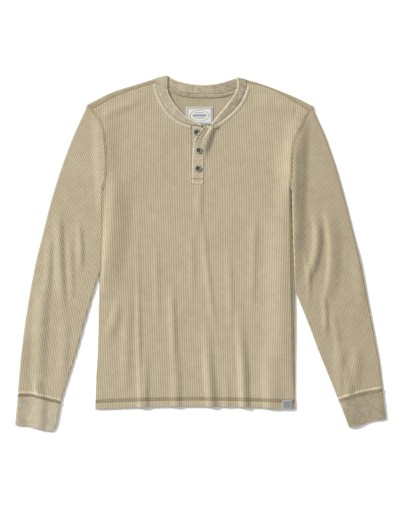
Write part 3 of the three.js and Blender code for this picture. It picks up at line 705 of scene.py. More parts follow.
for i, p in enumerate(front_cut.spots):
    count, length = body_knit(p.x, p.y)
    inside = front_inside(p.x, p.y)
    doubled = HEM_DOUBLING * smooth((HEM_BAND[1] - length) / 3)
    in_band = smooth((length - HEM_BAND[0]) / 0.8 + 0.5) * smooth((HEM_BAND[1] - length) / 0.8 + 0.5)
    doubled -= 0.45 * smooth(1 - abs(length - HEM_BAND[0]) / 0.9)
    doubled -= 0.55 * smooth(1 - abs(length - HEM_BAND[1]) / 0.9)
    side = front_cut.distance(i, "side")
    sewn = front_cut.distance(i, "armhole", "shoulder", "neck", "slot")
    hem = front_cut.distance(i, "hem")
    rib = rib_wave(count) * (1 - 0.6 * in_band) + 0.3 * in_band
    top = inside + FRONT_WALL + RIB_HEIGHT * rib + doubled
    beside_sleeve = smooth((p.y + 52) / 20) if p.x < 0 else 0
    tops.append(top - max(roll(side, 2.4 - beside_sleeve, 2.9 - 1.7 * beside_sleeve),
                          roll(sewn, 1.3, 0.8), roll(hem, 1.4, 0.9)))
    bottoms.append(min(inside - roll(side, 1.5, 1.6), tops[-1] - 0.15))
    knit.append((count, length))
    band_near = max(HEM_BAND[0] - length, length - HEM_BAND[1])
    edges.append((min(band_near, front_cut.distance(i, "neck", "slot") + 0.2),
                  min(hem + 0.4, front_cut.distance(i, "armhole") * 1.2)))
points, faces = two_faced(front_cut, tops, bottoms)
front = piece_mesh("front_panel_knit", points, faces, {"cloth": knit * 2, "edge": edges * 2})
dressed(front, rib_knit, "rib_knit", "front_panel")

# The sleeves. Each is a tube of the same rib knit, folded flat along its outer side and set into the
# armhole. Its ribs follow the outer fold, and a few soft creases lie across its elbow and forearm.
SLEEVE_RIB_PITCH, SLEEVE_LIFT, SLEEVE_BREADTH = 3.6, 0.1, 190
SLEEVE_CLOTH, SLEEVE_FOLD_Z = 1.2, 1.9
SLEEVE_FOLDS = {
    "left": [(-340, -394), (-304, -391.5), (-230, -385.9), (-161, -377.3), (-93, -366.6),
             (-24, -353.7), (45, -336.5), (114, -319.3), (183, -297.8), (252, -272),
             (303, -248.3), (330, -236)],
    "right": [(-340, 397), (-292, 393.4), (-230, 385.9), (-161, 373), (-93, 360.1), (-24, 347.2),
              (45, 330), (114, 312.8), (183, 293.5), (252, 269.8), (303, 246.2), (330, 237)],
}
SLEEVE_UNDERARMS = {
    "left": [(-220.4, -58), (-231.1, -92.5), (-246.2, -144), (-265.5, -213), (-298.6, -319.5)],
    "right": [(206.9, -85), (231.1, -144), (256.9, -213), (284.9, -281.7), (298.2, -316)],
}
SLEEVE_LEAVES_BODY_Y = {"left": -41, "right": -80}
SLEEVE_CREASES = {
    "left": [((-302, 110), (-290, -150), (17, 13), 2.9, -4), ((-262, 74), (-257, -50), (11, 10), 2.0, 4),
             ((-334, -40), (-348, -335), (22, 22), 3.4, -2), ((-386, -150), (-389, -340), (8, 36), 3.0, 0),
             ((-356, -266), (-342, -335), (8, 20), 3.0, 0), ((-282, 44), (-276, -120), (10, 10), 1.2, 3),
             ((-318, 60), (-332, -120), (14, 12), 1.6, 0), ((-290, -120), (-300, -300), (18, 16), 1.6, 4)],
    "right": [((202, 266), (199, 50), (20, 15), 3.2, 0),
              ((246, 96), (216, -84), (14, 16), 4.4, 20), ((268, 110), (262, -130), (12, 28), 4.2, 18),
              ((200, 84), (188, -96), (8, 42), 4.6, 0), ((317, -232), (323, -345), (12, 15), 2.6, 0),
              ((262, -80), (268, -190), (10, 10), 2.0, 6), ((303, -190), (312, -330), (20, 17), 2.6, -4),
              ((338, -190), (326, -318), (16, 18), 2.0, 4), ((222, 10), (232, -120), (9, 9), 1.6, 8),
              ((330, 40), (352, -150), (18, 14), 1.6, 4), ((284, -120), (300, -230), (12, 12), 1.4, 3)],
}
CUFFS = {
    "left": {"seam": [(-391.5, -304), (-363, -303.5), (-298.6, -319.5)],
             "edge": [(-307.2, -366.8), (-318.6, -383.1), (-346.6, -378.2), (-371.3, -372.4),
                      (-397.8, -369.2)]},
    "right": {"seam": [(393.4, -292.4), (344.9, -301), (298.2, -316)],
              "edge": [(320.8, -374.5), (338, -372.8), (367.4, -362.5), (401.2, -356.5)]},
}


def sleeve_fold(side, y):
    """The outer fold with its corners eased."""
    return sum(lookup(SLEEVE_FOLDS[side], y + k * 7) for k in (-2, -1, 0, 1, 2)) / 5


def fold_slant(side, y):
    """How much longer a step across the sleeve is than one square to its fold."""
    return math.hypot(1, (sleeve_fold(side, y + 8) - sleeve_fold(side, y - 8)) / 16)


def on_sleeve(side, d, y):
    return sleeve_fold(side, y) + SIDES[side] * d * fold_slant(side, y), y


def sleeve_inside(side, x, y):
    return (LAYER_REST + SLEEVE_LIFT + fold_height(SLEEVE_CREASES[side], x, y)
            + fold_height(ARMHOLE_RIDGES[side], x, y))


# Painted shade: drift darkens the sleeve knit towards the right, so the right sleeve is painted darker
# than the left, as cloth tilted away from the light; crisp paints the rib shade more strongly beside the
# seams.
sleeve_rib = knit_finish("washed_sleeve_knit_painted_shade", tone=-0.05, drift=-0.32, crisp=0.7)


def sleeve_knit(side, x, y):
    d = (x - sleeve_fold(side, y)) * SIDES[side] / fold_slant(side, y)
    return d / SLEEVE_RIB_PITCH, y


def tube(cut, tops, bottoms, closed, layers):
    """Points and faces of a flattened tube, joined at its closed edges and open at the others."""
    rim = {i for edge in cut.rim for i in edge}
    joined = {i for i in rim if cut.distance(i, *closed) < 0.06}
    points = [(p.x, p.y, tops[i]) for i, p in enumerate(cut.spots)]
    under, values = {}, {name: list(rows) for name, rows in layers.items()}
    for i, p in enumerate(cut.spots):
        if i in joined:
            points[i] = (p.x, p.y, (tops[i] + bottoms[i]) / 2)
            under[i] = i
        else:
            under[i] = len(points)
            points.append((p.x, p.y, bottoms[i]))
            for rows in values.values():
                rows.append(rows[i])
    faces = [face for face in cut.faces if not all(i in joined for i in face)]
    faces += [tuple(under[i] for i in face[::-1]) for face in faces]
    return points, faces, values


def thicken(piece, wall):
    """Cloth of this thickness in millimetres, inwards from the modelled outer face.

    Where the inner face would pass through itself in a sharp fold, it stays close to the outer one.
    """
    outer = [v.co.copy() for v in piece.data.vertices]
    with bpy.context.temp_override(object=piece, active_object=piece):
        solid = piece.modifiers.new("wall", "SOLIDIFY")
        solid.thickness = wall / 1000
        solid.offset = -1
        solid.use_even_offset = False
        bpy.ops.object.modifier_apply(modifier=solid.name)
    vertices = piece.data.vertices
    for skin, inner in zip(outer, vertices[len(outer):]):
        step = inner.co - skin
        if step.length > wall * 1.25 / 1000:
            inner.co = skin + step.normalized() * wall * 0.3 / 1000
    for vertex in vertices:
        vertex.co.z = max(vertex.co.z, 0)


def half_round(distance, radius):
    """0 at a folded edge, 1 from the radius inwards, as a half circle rises."""
    return math.sqrt(max(0, 1 - (1 - min(1, distance / radius)) ** 2))


for side in SIDES:
    fold = [(sleeve_fold(side, y), y) for y in range(-300, 316, 8)]
    seam = curve(CUFFS[side]["seam"], 2)
    tip_y = ARMHOLES[side][0][1]
    fold_edge = [Vector(p) for p in fold if seam[0].y + 3 < p[1] < tip_y - 3]
    beside = [(lookup(BODY_SIDES[side], y), y) for y in range(125, SLEEVE_LEAVES_BODY_Y[side], -8)]
    under = curve([(lookup(BODY_SIDES[side], SLEEVE_LEAVES_BODY_Y[side]),
                    SLEEVE_LEAVES_BODY_Y[side]), *SLEEVE_UNDERARMS[side]], 4)
    closed_in = [Vector(p) for p in beside] + under
    edges = [("armhole", armhole[side]), ("folded", [armhole[side][-1], *closed_in]),
             ("cuff", seam[::-1]), ("folded", [seam[0], *fold_edge, armhole[side][0]])]
    ys = [-345 + 9 * k for k in range(76)]
    lines = [[on_sleeve(side, k * SLEEVE_RIB_PITCH / 4, y) for y in ys]
             for k in range(2, round(4 * SLEEVE_BREADTH / SLEEVE_RIB_PITCH))]
    cut = Cut(edges, lines, insets=(0.25, 0.8, 1.6, 2.6))
    tops, bottoms, knit, wear = [], [], [], []
    for i, p in enumerate(cut.spots):
        count, length = sleeve_knit(side, p.x, p.y)
        beside_body = side == "left" and p.x > -225 and p.y > SLEEVE_LEAVES_BODY_Y[side]
        folded = half_round(cut.distance(i, "folded"), 1.0 if beside_body else 2.3)
        inside = sleeve_inside(side, p.x, p.y)
        open_end = roll(cut.distance(i, "armhole", "cuff"), 1.3, 0.7)
        top = inside + FRONT_WALL + RIB_HEIGHT * rib_wave(count) - open_end
        low = 0.5 * (1 - rib_wave(count))
        tops.append(SLEEVE_FOLD_Z + (top - SLEEVE_FOLD_Z) * folded)
        bottoms.append(SLEEVE_FOLD_Z - (SLEEVE_FOLD_Z - low) * folded)
        knit.append((count, length))
        wear.append((cut.distance(i, "armhole") - 1, cut.distance(i, "cuff") - 4.6))
    points, faces, values = tube(cut, tops, bottoms, ["folded"], {"cloth": knit, "edge": wear})
    sleeve = piece_mesh(f"sleeve_{side}_knit", points, faces, values)
    thicken(sleeve, SLEEVE_CLOTH)
    dressed(sleeve, sleeve_rib, "rib_knit", f"sleeve_{side}")
    2 * flat_area(cut)


# The cuffs. Each is a doubled tube of plain fine jersey, sewn to the end of the sleeve. Its free edge
# is a fold, soft and a little wavy from washing.
CUFF_WALL, CUFF_CLOTH, CUFF_FOLD_Z = 1.9, 1.5, 2.05
CUFF_CREASES = {
    "left": [((-386, -250), (-396, -420), (8, 22), 2.2, 0),
             ((-334, -250), (-350, -440), (28, 18), 3.0, 0)],
    "right": [((303, -260), (330, -440), (12, 50), 2.6, 0), ((384, -270), (392, -420), (14, 12), 1.2, 0)],
}
CUFF_TOP, JERSEY_PITCH = 2 * CUFF_WALL + SEAM_GAP, 1.2
# Painted shade: drift darkens this jersey towards the right, so the right cuff is painted darker than the
# left, as cloth turned away from the light.
jersey = knit_finish("washed_jersey_painted_shade", JERSEY_SHADE, JERSEY_PALE, ribs=0.12, clouds=0.5,
                     mottles=0.8, pale_width=2.4, loops=0.6, patches=100, tone=-0.2, drift=-0.58)


def cuff_top(side, x, y):
    return CUFF_TOP + fold_height(CUFF_CREASES[side], x, y)


for side in SIDES:
    seam = curve(CUFFS[side]["seam"], 2)
    edge = curve(CUFFS[side]["edge"], 2)
    cut = Cut([("seam", seam), ("folded", [seam[-1], edge[0]]), ("free", edge),
               ("folded", [edge[-1], seam[0]])],
              [[p.lerp(q, k / 30) for k in range(-1, 32)] for p, q in
               zip(evenly(seam, 2.2), evenly(edge[::-1], 2.2))], insets=(0.3, 1.0, 2.0, 3.0))
    tops, bottoms, knit, wear = [], [], [], []
    for i, p in enumerate(cut.spots):
        folded = half_round(cut.distance(i, "folded"), 2.6)
        free = cut.distance(i, "free")
        ripple = 0.35 * noise.noise(Vector((p.x / 14, p.y / 30, 3))) * smooth((30 - free) / 30)
        top = cuff_top(side, p.x, p.y) + ripple
        top -= max(roll(free, 2.2, 1.3), roll(cut.distance(i, "seam"), 1.4, 0.9))
        low = roll(free, 2.2, 0.7)
        tops.append(CUFF_FOLD_Z + (top - CUFF_FOLD_Z) * folded)
        bottoms.append(CUFF_FOLD_Z - (CUFF_FOLD_Z - low) * folded)
        knit.append((p.x / JERSEY_PITCH, p.y))
        wear.append((cut.distance(i, "seam") - 1, min(free, cut.distance(i, "folded") * 1.6)))
    points, faces, values = tube(cut, tops, bottoms, ["folded"], {"cloth": knit, "edge": wear})
    cuff = piece_mesh(f"cuff_{side}_jersey", points, faces, values)
    thicken(cuff, CUFF_CLOTH)
    dressed(cuff, jersey, "jersey", f"cuff_{side}")
    min(2 * flat_area(cut), 0.0133)


# The neckband. One strip of jersey, doubled and sewn round the neck. It lies on the front, turns
# over at each shoulder and comes back across the inside of the neck.
BAND_WALL, BAND_UPPER_Z = 2.2, 2.6


def rounded_section(width, wall):
    """A rounded strip's section, as steps across the width and up from its middle."""
    rows, half = 7, wall / 2
    reach = min(half * 1.25, width / 3)
    top = []
    for k in range(5):
        angle = math.pi / 2 * k / 4
        top.append((reach * (1 - math.cos(angle)), half * math.sin(angle)))
    for k in range(1, rows):
        top.append((reach + (width - 2 * reach) * k / rows, half))
    for k in range(5):
        angle = math.pi / 2 * (1 - k / 4)
        top.append((width - reach * (1 - math.cos(angle)), half * math.sin(angle)))
    return top + [(a, -n) for a, n in top[-2:0:-1]]


def swept_strip(name, stations, wall):
    """A strip of this thickness. Each station gives its inner and outer edge and the way up."""
    points, faces, knit, wear = [], [], [], []
    length, before = 0, None
    for inner, outer, up in stations:
        across = outer - inner
        width = across.length
        across = across / width
        section = rounded_section(width, wall)
        middle = (inner + outer) / 2
        length += (middle - before).length if before else 0
        before = middle
        for a, n in section:
            points.append(inner + across * a + up * n)
            knit.append((a / JERSEY_PITCH, length))
            wear.append((width - a + 0.6, a))
    ring = len(rounded_section(20, wall))
    for i in range(len(stations) - 1):
        for k in range(ring):
            a, b = i * ring + k, i * ring + (k + 1) % ring
            faces.append((a, b, b + ring, a + ring))
    last = (len(stations) - 1) * ring
    faces.append(tuple(range(ring))[::-1])
    faces.append(tuple(range(last, last + ring)))
    return piece_mesh(name, points, outward(points, faces), {"cloth": knit, "edge": wear})


STATION_STEP, FINE_STEP = 1.5, 0.25


def flat_stations(rows, z, up):
    inner, outer = (curve([row[edge] for row in rows], FINE_STEP) for edge in (0, 1))
    count = round((len(outer) + len(inner)) / 2 * FINE_STEP / STATION_STEP)
    made = []
    for k in range(count + 1):
        a = inner[round(k / count * (len(inner) - 1))]
        b = outer[round(k / count * (len(outer) - 1))]
        b = b + (a - b).normalized() * SEAM_GAP
        made.append((Vector((*a, z)), Vector((*b, z)), Vector((0, 0, up))))
    return made


band_upper, band_lower = BAND_UPPER_Z + BAND_WALL / 2, BAND_WALL / 2


def band_turn(side, angles):
    inner, outer = (Vector((*p, 0)) for p in BAND_FOLDS[side])
    along = (inner - outer).normalized()
    away = Vector((-along.y, along.x, 0))
    away = -away if away.y < 0 else away
    made = []
    for degrees in angles:
        angle = math.radians(degrees)
        up = away * math.sin(angle) + Vector((0, 0, math.cos(angle)))
        centre = Vector((0, 0, (band_upper + band_lower) / 2)) + up * (band_upper - band_lower) / 2
        made.append((inner + centre, outer + centre, up))
    return made


half_turn = [15 * k for k in range(13)]
stations = [*flat_stations([*BAND_FRONT_LEFT, BAND_FOLDS["left"]], band_upper, 1)[:-1],
            *band_turn("left", half_turn),
            *flat_stations([BAND_FOLDS["left"], *BAND_BACK, BAND_FOLDS["right"]],
                           band_lower, -1)[1:-1],
            *band_turn("right", half_turn[::-1]),
            *flat_stations([BAND_FOLDS["right"], *BAND_FRONT_RIGHT], band_upper, 1)[1:]]
band = swept_strip("neckband_jersey", stations, BAND_WALL)
# Painted shade: drift paints the band lighter on its left and darker on its right, by how the light falls
# on each side of the neck.
band_jersey_painted_shade = knit_finish("band_jersey_painted_shade", JERSEY_SHADE, JERSEY_PALE, ribs=0.12, clouds=0.4, mottles=1.2,
                          pale_width=4.2, loops=0.6, wear=0.8, patches=130, tone=-0.2, drift=-1.9)
dressed(band, band_jersey_painted_shade, "jersey", "neckband")


# The neck tape. A narrow strip of jersey sewn over the back neck seam, inside the shirt.
TAPE_WIDTH, TAPE_DROP, TAPE_WALL = 7, 0.6, 1
TAPE_ENDS = (-71, 81.5)
tape_top = [p for p in curve([row[1] for row in [BAND_FOLDS["left"], *BAND_BACK,
                                                 BAND_FOLDS["right"]]], 1.5)
            if TAPE_ENDS[0] < p.x < TAPE_ENDS[1]]
tape_rows = []
for p in tape_top:
    tucked_in = smooth((abs(p.x - 5) - 56) / 10)
    z = LAYER_REST + TAPE_WALL / 2 - 0.25 * tucked_in
    tape_rows.append((Vector((p.x, p.y - TAPE_DROP, z)),
                      Vector((p.x, p.y - TAPE_DROP - TAPE_WIDTH, z)), Vector((0, 0, 1))))
tape = swept_strip("neck_tape_jersey", tape_rows, TAPE_WALL)
tape_jersey = knit_finish("tape_jersey", JERSEY_SHADE, JERSEY_PALE, ribs=0.12, clouds=0.4, mottles=1.0,
                          pale_width=1.5, loops=0.6, wear=0.6, patches=130, tone=-0.34)
dressed(tape, tape_jersey, "jersey", "neck_tape")
flat_area(back_cut) + 0.007


# The placket. Two doubled strips of the knit close the slot. The underlap carries the top button,
# and the overlap is sewn down its right side and is peeled back at its top.
PLACKET_WALL, UNDERLAP_Z = 1.5, 1.9
OVERLAP_REST = UNDERLAP_Z + PLACKET_WALL + SEAM_GAP
underlap_ring = [(SLOT_LEFT + 0.3, SLOT_BOTTOM + 0.3), (SLOT_RIGHT - 0.3, SLOT_BOTTOM + 0.3),
                 (SLOT_RIGHT - 0.3, 264.9), (4, 271.3), (SLOT_LEFT + 0.3, SLOT_TOP - 0.3),
                 (SLOT_LEFT + 0.3, SLOT_BOTTOM + 0.3)]
cut = Cut([("free", evenly(underlap_ring, 3))],
          [[(x / 2, y) for y in range(146, 278, 4)] for x in range(-36, 22)])
knit = [(p.x / JERSEY_PITCH, p.y) for p in cut.spots]
wear = [(50, cut.distance(i, "free")) for i in range(len(cut.spots))]
points, faces = two_faced(cut, [UNDERLAP_Z + PLACKET_WALL - roll(d, 1.2, 0.6) for _, d in wear],
                          [UNDERLAP_Z + roll(d, 1.2, 0.3) for _, d in wear])
underlap = piece_mesh("placket_underlap_cloth", points, faces, {"cloth": knit * 2, "edge": wear * 2})
placket_knit = knit_finish("placket_knit", ribs=0.2, clouds=0.4, mottles=1.1, pale_width=4.6,
                           loops=0.8, wear=0.72, patches=190, tone=-0.14)
dressed(underlap, placket_knit, "rib_knit", "placket_underlap")
flat_area(cut)


def overlap_row(y, column):
    return lookup([(row[0], row[column]) for row in OVERLAP_ROWS], y)


def overlap_eased(y, column):
    return sum(overlap_row(y + k, column) for k in (-6, -3, 0, 3, 6)) / 5 if 155 < y < 266 \
        else overlap_row(y, column)


ACROSS = [0, 0.012, 0.035, 0.07, 0.11, 0.16, *[0.22 + 0.07 * k for k in range(9)], 0.84, 0.89,
          0.93, 0.965, 0.988, 1]
BOX_LINE, CORNER = 158.8, 3.4
rows = [148.4, 148.8, 149.5, *[150.4 + 1.3 * k for k in range(94)], 272.2]
points, knit, wear = [], [], []
for layer in (1, 0):
    for y in rows:
        left, right = overlap_eased(y, 1), overlap_eased(y, 2)
        lift = overlap_eased(y, 3)
        turn = max(0, CORNER - (y - rows[0])) / CORNER
        left += CORNER * (1 - math.sqrt(1 - turn * turn))
        right -= CORNER * (1 - math.sqrt(1 - turn * turn))
        for u in ACROSS:
            x = left + (right - left) * u
            rim = min(u, 1 - u) * (right - left)
            end = min(y - rows[0], rows[-1] - y)
            edge = min(rim, end)
            z = OVERLAP_REST + lift * (1 + 0.5 * smooth((0.34 - u) / 0.34)
                                       - 0.45 * smooth(1 - abs(u - 0.64) / 0.24))
            pucker = math.sin(y * 0.97 + 2.2 * noise.noise(Vector((u * 2, y / 9, 4))))
            groove = abs((right - left) * u - 3.9)
            z -= lift * 0.3 * smooth(1 - groove / 1.8)
            z += layer * (0.55 * pucker * smooth((5.5 - rim) / 4.5) * smooth((y - 160) / 3)
                          - 0.9 * smooth(1 - abs(y - BOX_LINE) / 2) + 0.3 * smooth((BOX_LINE - y) / 3))
            z += PLACKET_WALL - roll(edge, 1.3, 0.65) if layer else roll(edge, 1.3, 0.4)
            points.append((x, y, z))
            knit.append((x / JERSEY_PITCH, y))
            # The seam distance paints an olive line along the box line, and painted shade in the sunk
            # groove inside the left edge, wider where the flap lifts.
            wear.append((min(abs(y - BOX_LINE) - 1.2, groove + 0.9 - 0.7 * lift), edge))
wide, tall = len(ACROSS), len(rows)
faces = []
for r in range(tall - 1):
    for c in range(wide - 1):
        a = r * wide + c
        b = a + wide * tall
        faces.append((a, a + 1, a + wide + 1, a + wide))
        faces.append((b, b + wide, b + wide + 1, b + 1))
rim = list(range(wide)) + [r * wide + wide - 1 for r in range(1, tall)]
rim += [(tall - 1) * wide + c for c in range(wide - 2, -1, -1)] + [r * wide for r in
                                                                  range(tall - 2, 0, -1)]
for a, b in zip(rim, rim[1:] + rim[:1]):
    faces.append((b, a, a + wide * tall, b + wide * tall))
overlap = piece_mesh("placket_overlap_cloth", points, faces, {"cloth": knit, "edge": wear})
dressed(overlap, placket_knit, "rib_knit", "placket_overlap")


# The sewing. A covering strip with pale cross loops goes round the front of the neck, and olive bands
# cover the seams of the armholes and cuffs. Olive thread runs in two rows along these, the shoulders
# and the hem, and paler thread along the placket's edges, in a box at its end and round its holes.
class Thread:
    """Short lengths of thread that become one mesh."""

    def __init__(self, seed):
        self.points, self.faces, self.tone = [], [], []
        self.draw = random.Random(seed)

    def stitch(self, a, b, width, height):
        """One stitch from a to b, a rounded bar that narrows to both ends."""
        way = b - a
        side = Vector((way.y, -way.x, 0)).normalized() * width / 2
        up = Vector((0, 0, height))
        first = len(self.points)
        self.points.append(a)
        for t, grow in ((0.14, 0.75), (0.5, 1), (0.86, 0.75)):
            middle = a + way * t
            for s, h in ((-1, 0), (-0.62, 0.75), (0, 1), (0.62, 0.75), (1, 0), (0, -0.4)):
                self.points.append(middle + side * s * grow + up * h * grow)
        self.points.append(b)
        last = len(self.points) - 1
        for k in range(6):
            n = (k + 1) % 6
            self.faces.append((first, first + 1 + n, first + 1 + k))
            for ring in (0, 6):
                c, d = first + 1 + ring + k, first + 1 + ring + n
                self.faces.append((c, d, d + 6, c + 6))
            self.faces.append((last, first + 13 + k, first + 13 + n))
        self.tone += [(self.draw.random(), t) for t in [0] + [0.2] * 6 + [0.5] * 6 + [0.8] * 6 + [1]]

    def row(self, path, surface, pitch, share=0.78, width=0.7, height=0.5, turn=0):
        """Stitches along a path, each turned by so many degrees and as long as a share of the pitch."""
        spots = evenly(path, pitch)
        for a, b in zip(spots, spots[1:]):
            way = (b - a).normalized()
            side = right_of(way)
            middle = (a + b) / 2 + side * self.draw.uniform(-0.12, 0.12)
            angle = math.radians(turn + self.draw.uniform(-4, 4))
            reach = (way * math.cos(angle) + side * math.sin(angle)) * pitch * share / 2
            ends = [middle - reach, middle + reach]
            self.stitch(*(Vector((p.x, p.y, surface(p.x, p.y))) for p in ends), width, height)

    def ladder(self, path, surface, pitch, reach, width, height, slant):
        """Stitches across a path, one at every pitch."""
        spots = evenly(path, pitch)
        for i, p in enumerate(spots):
            way = heading(spots, i)
            side = right_of(way)
            cross = (side + way * (slant + self.draw.uniform(-0.08, 0.08))) * reach / 2
            ends = [p - cross, p + cross]
            self.stitch(*(Vector((q.x, q.y, surface(q.x, q.y))) for q in ends), width, height)

    def sewn(self, name, material):
        piece = piece_mesh(name, self.points, self.faces, {"cloth": self.tone})
        dressed(piece, material, "rib_knit")
        return piece


def thread_finish(name, low, high):
    material = new_material(name)
    dye = Dye(material.node_tree)
    tone, _ = dye.layer("cloth").split()
    twist = dye.speck(dye.spot(), 2600, 1)
    colour = (tone * 0.7 + (twist - 0.5) * 0.9 + 0.15).over(0, 1).mix(low, high)
    dye.shade({"Base Color": colour, "Roughness": 0.8, "Sheen Weight": 0.2}, twist, 0.4, 0.0002)
    return material


def front_top(x, y):
    return front_inside(x, y) + FRONT_WALL + 0.45


olive_thread = thread_finish("olive_thread", (0.19, 0.15, 0.08), (0.40, 0.33, 0.20))


def aside(path, distance):
    return [p + right_of(heading(path, i)) * distance for i, p in enumerate(path)]


STRIP_WIDTH, STRIP_WALL, NECK_MIDDLE = 7.6, 1.1, Vector((0, 330))
neck_loops = Thread(11)
strips = []
for line in (cut_below(band_left, 362), cut_below(band_right, 358)):
    line = [p for p in line if p.x < SLOT_LEFT - 0.5 or p.x > 30.5]
    half = len(line) // 2
    away = 1 if (aside(line, 1)[half] - NECK_MIDDLE).length > (line[half] - NECK_MIDDLE).length else -1
    inner, outer = aside(line, 0.5 * away), aside(line, (0.5 + STRIP_WIDTH) * away)
    rows = []
    for a, b in zip(inner, outer):
        z = max(front_top(*a), front_top(*b)) - 0.05
        rows.append((Vector((*a, z)), Vector((*b, z)), Vector((0, 0, 1))))
    strips.append(swept_strip("neck_strip", rows, STRIP_WALL))
    middle = aside(line, (0.5 + STRIP_WIDTH / 2) * away)
    neck_loops.ladder(middle, lambda x, y: front_top(x, y) + 0.35, 3.9, STRIP_WIDTH * 0.84,
                      width=2.0, height=0.75, slant=0.3 * away)
neck_strip = strips[0]
join(neck_strip, strips[1])
neck_strip.name = "neck_cover_strip"
dressed(neck_strip, knit_finish("neck_seam_cover", SEAM_OLIVE, JERSEY_PALE, ribs=0.1), "jersey")

olive_seam = knit_finish("olive_seam_cover", SEAM_OLIVE, SEAM_PALE, ribs=0.1, clouds=0.8,
                         mottles=1.2, loops=1.6, wear=0.1, tone=-0.2)
armhole_seam = knit_finish("armhole_seam_cover", ARMHOLE_OLIVE, ARMHOLE_PALE, ribs=0.1, clouds=0.8,
                           mottles=1.2, loops=1.6, wear=0.1, tone=-0.1)
COVER_WALL = 0.9
covers = []


def cover_strip(path, width, height, seed, ripple=0.12):
    """A flat band of covering thread along a seam, a little uneven, on cloth of this height."""
    rows = []
    path = evenly(path, 1.3)
    for i, p in enumerate(path):
        side = right_of(heading(path, i))
        drift = noise.noise(Vector((i * 0.21, seed, 1)))
        half = width / 2 * (1 + 0.16 * noise.noise(Vector((i * 0.33, seed, 5))))
        half *= min(1, 0.4 + min(i, len(path) - 1 - i) / 5)
        puckered = ripple * (noise.noise(Vector((i * 0.6, seed, 9))) + math.sin(i * 2.1) * 0.5)
        a, b = p + side * (drift * 0.5 - half), p + side * (drift * 0.5 + half)
        rows.append((Vector((*a, height(*a) + puckered)), Vector((*b, height(*b) + puckered)),
                     Vector((0, 0, 1))))
    covers.append(swept_strip("cover_strip", rows, COVER_WALL))


SEAM_OFFSET, ARMHOLE_BAND = {"left": 2.4, "right": 0.7}, {"left": 5.8, "right": 5.0}


def armhole_line(side, offset):
    """A line along the armhole's seam, drawn in towards the shoulder's tip."""
    tip = ARMHOLES[side][0][1]
    line = [p for p in armhole[side] if 134 < p.y < tip - 1.4]
    drawn_in = SEAM_OFFSET[side] - 0.6
    return [p + (q - p) * (SEAM_OFFSET[side] + offset - drawn_in * smooth((p.y - tip + 15) / 13))
            * SIDES[side] for p, q in zip(line, aside(line, 1))]


def seam_top(side, x, y):
    """The height of the cloth beside an armhole, whichever piece stands higher."""
    return max(sleeve_inside(side, x, y), front_inside(x, y)) + FRONT_WALL


def cuff_seam(side, offset):
    line = aside(curve(CUFFS[side]["seam"], 2), offset * SIDES[side])
    return [p + Vector((0, 2.3 * noise.noise(Vector((p.x / 9, 7, SIDES[side]))))) for p in line]


def cuff_seam_top(side, x, y):
    """The cuff's upper surface at its seam, rounded down to its folded edges."""
    near = min((Vector((x, y)) - Vector(end)).length for end in (CUFFS[side]["seam"][0],
                                                                 CUFFS[side]["seam"][-1]))
    middle = CUFF_TOP / 2
    top = max(cuff_top(side, x, y), sleeve_inside(side, x, y) + FRONT_WALL)
    return middle + (top - middle) * half_round(near, 4)


for number, side in enumerate(SIDES):
    cover_strip(armhole_line(side, 0), ARMHOLE_BAND[side],
                lambda x, y: seam_top(side, x, y) + 0.3, number)
    covers[-1].data.materials.append(armhole_seam)
    cover_strip(cuff_seam(side, 2.2), 6.4, lambda x, y: cuff_seam_top(side, x, y) + 0.1,
                number + 4, ripple=0.45)
    covers[-1].data.materials.append(olive_seam)
seam_cover = covers[0]
join(seam_cover, *covers[1:])
seam_cover.name = "seam_cover_strips"
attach(seam_cover, "root")

seams = Thread(23)
for side in SIDES:
    wrap_z = LAYER_REST + FRONT_WALL + 0.42
    toward = -SIDES[side]
    for offset in (0.9, 2.9):
        line = aside(shoulder_seam[side], offset * toward)
        seams.row(line, lambda x, y: wrap_z, pitch=2.6, height=0.45)
    for offset in (-2.0, 2.0):
        seams.row(armhole_line(side, offset),
                  lambda x, y: seam_top(side, x, y) + 0.65, pitch=2.6, height=0.45)
    for offset in (0.4, 4.2):
        seams.row(cuff_seam(side, offset)[1:-1], lambda x, y: cuff_seam_top(side, x, y) + 0.5,
                  pitch=2.6)
for level in (HEM_BAND[0] + 1.0, HEM_BAND[1] - 1.0):
    line = [Vector((x, level - HEM_Y + hem_edge(x))) for x in range(-222, 204, 2)]
    seams.row(line, lambda x, y: front_top(x, y) + 0.25, pitch=2.9)
seam_rows = seams.sewn("seam_stitches", olive_thread)
neck_rows = neck_loops.sewn("neck_loop_stitches", thread_finish(
    "neck_thread", (0.52, 0.46, 0.34), (0.80, 0.74, 0.61)))


def overlap_top(x, y):
    return OVERLAP_REST + overlap_eased(y, 3) + PLACKET_WALL - 0.1


def underlap_top(x, y):
    return UNDERLAP_Z + PLACKET_WALL - 0.1


BUTTON_SPOTS = [(-6.7, 259.9), (-1.7, 220.8), (-3.4, 181.7)]
placket = Thread(37)
for column, aside_by in ((1, 1.6), (2, -1.9)):
    edge = [Vector((overlap_eased(y, column) + aside_by, y)) for y in range(151, 272, 2)]
    placket.row(edge, overlap_top, pitch=3, share=0.9, height=0.35)
for y in (150.4, 156.6):
    placket.row([Vector((-15, y)), Vector((7.6, y))], overlap_top, pitch=2.5, width=0.8, height=0.5)
for edge in ([Vector((SLOT_LEFT + 1.6, y)) for y in range(236, 273, 2)],
             [Vector((SLOT_LEFT + 2, 272.2)), Vector((3, 270.0))]):
    placket.row(edge, underlap_top, pitch=2.7, width=0.8, height=0.5)
for x, y in BUTTON_SPOTS[1:]:
    for edge in (-0.75, 0.75):
        placket.row([Vector((x + edge, y - 8.6)), Vector((x + edge, y + 9.4))], overlap_top,
                    pitch=1.0, share=1.3, height=0.45, turn=80)
placket.sewn("placket_stitches", thread_finish(
    "placket_thread", (0.40, 0.34, 0.235), (0.66, 0.59, 0.46)))
flat_area(front_cut)


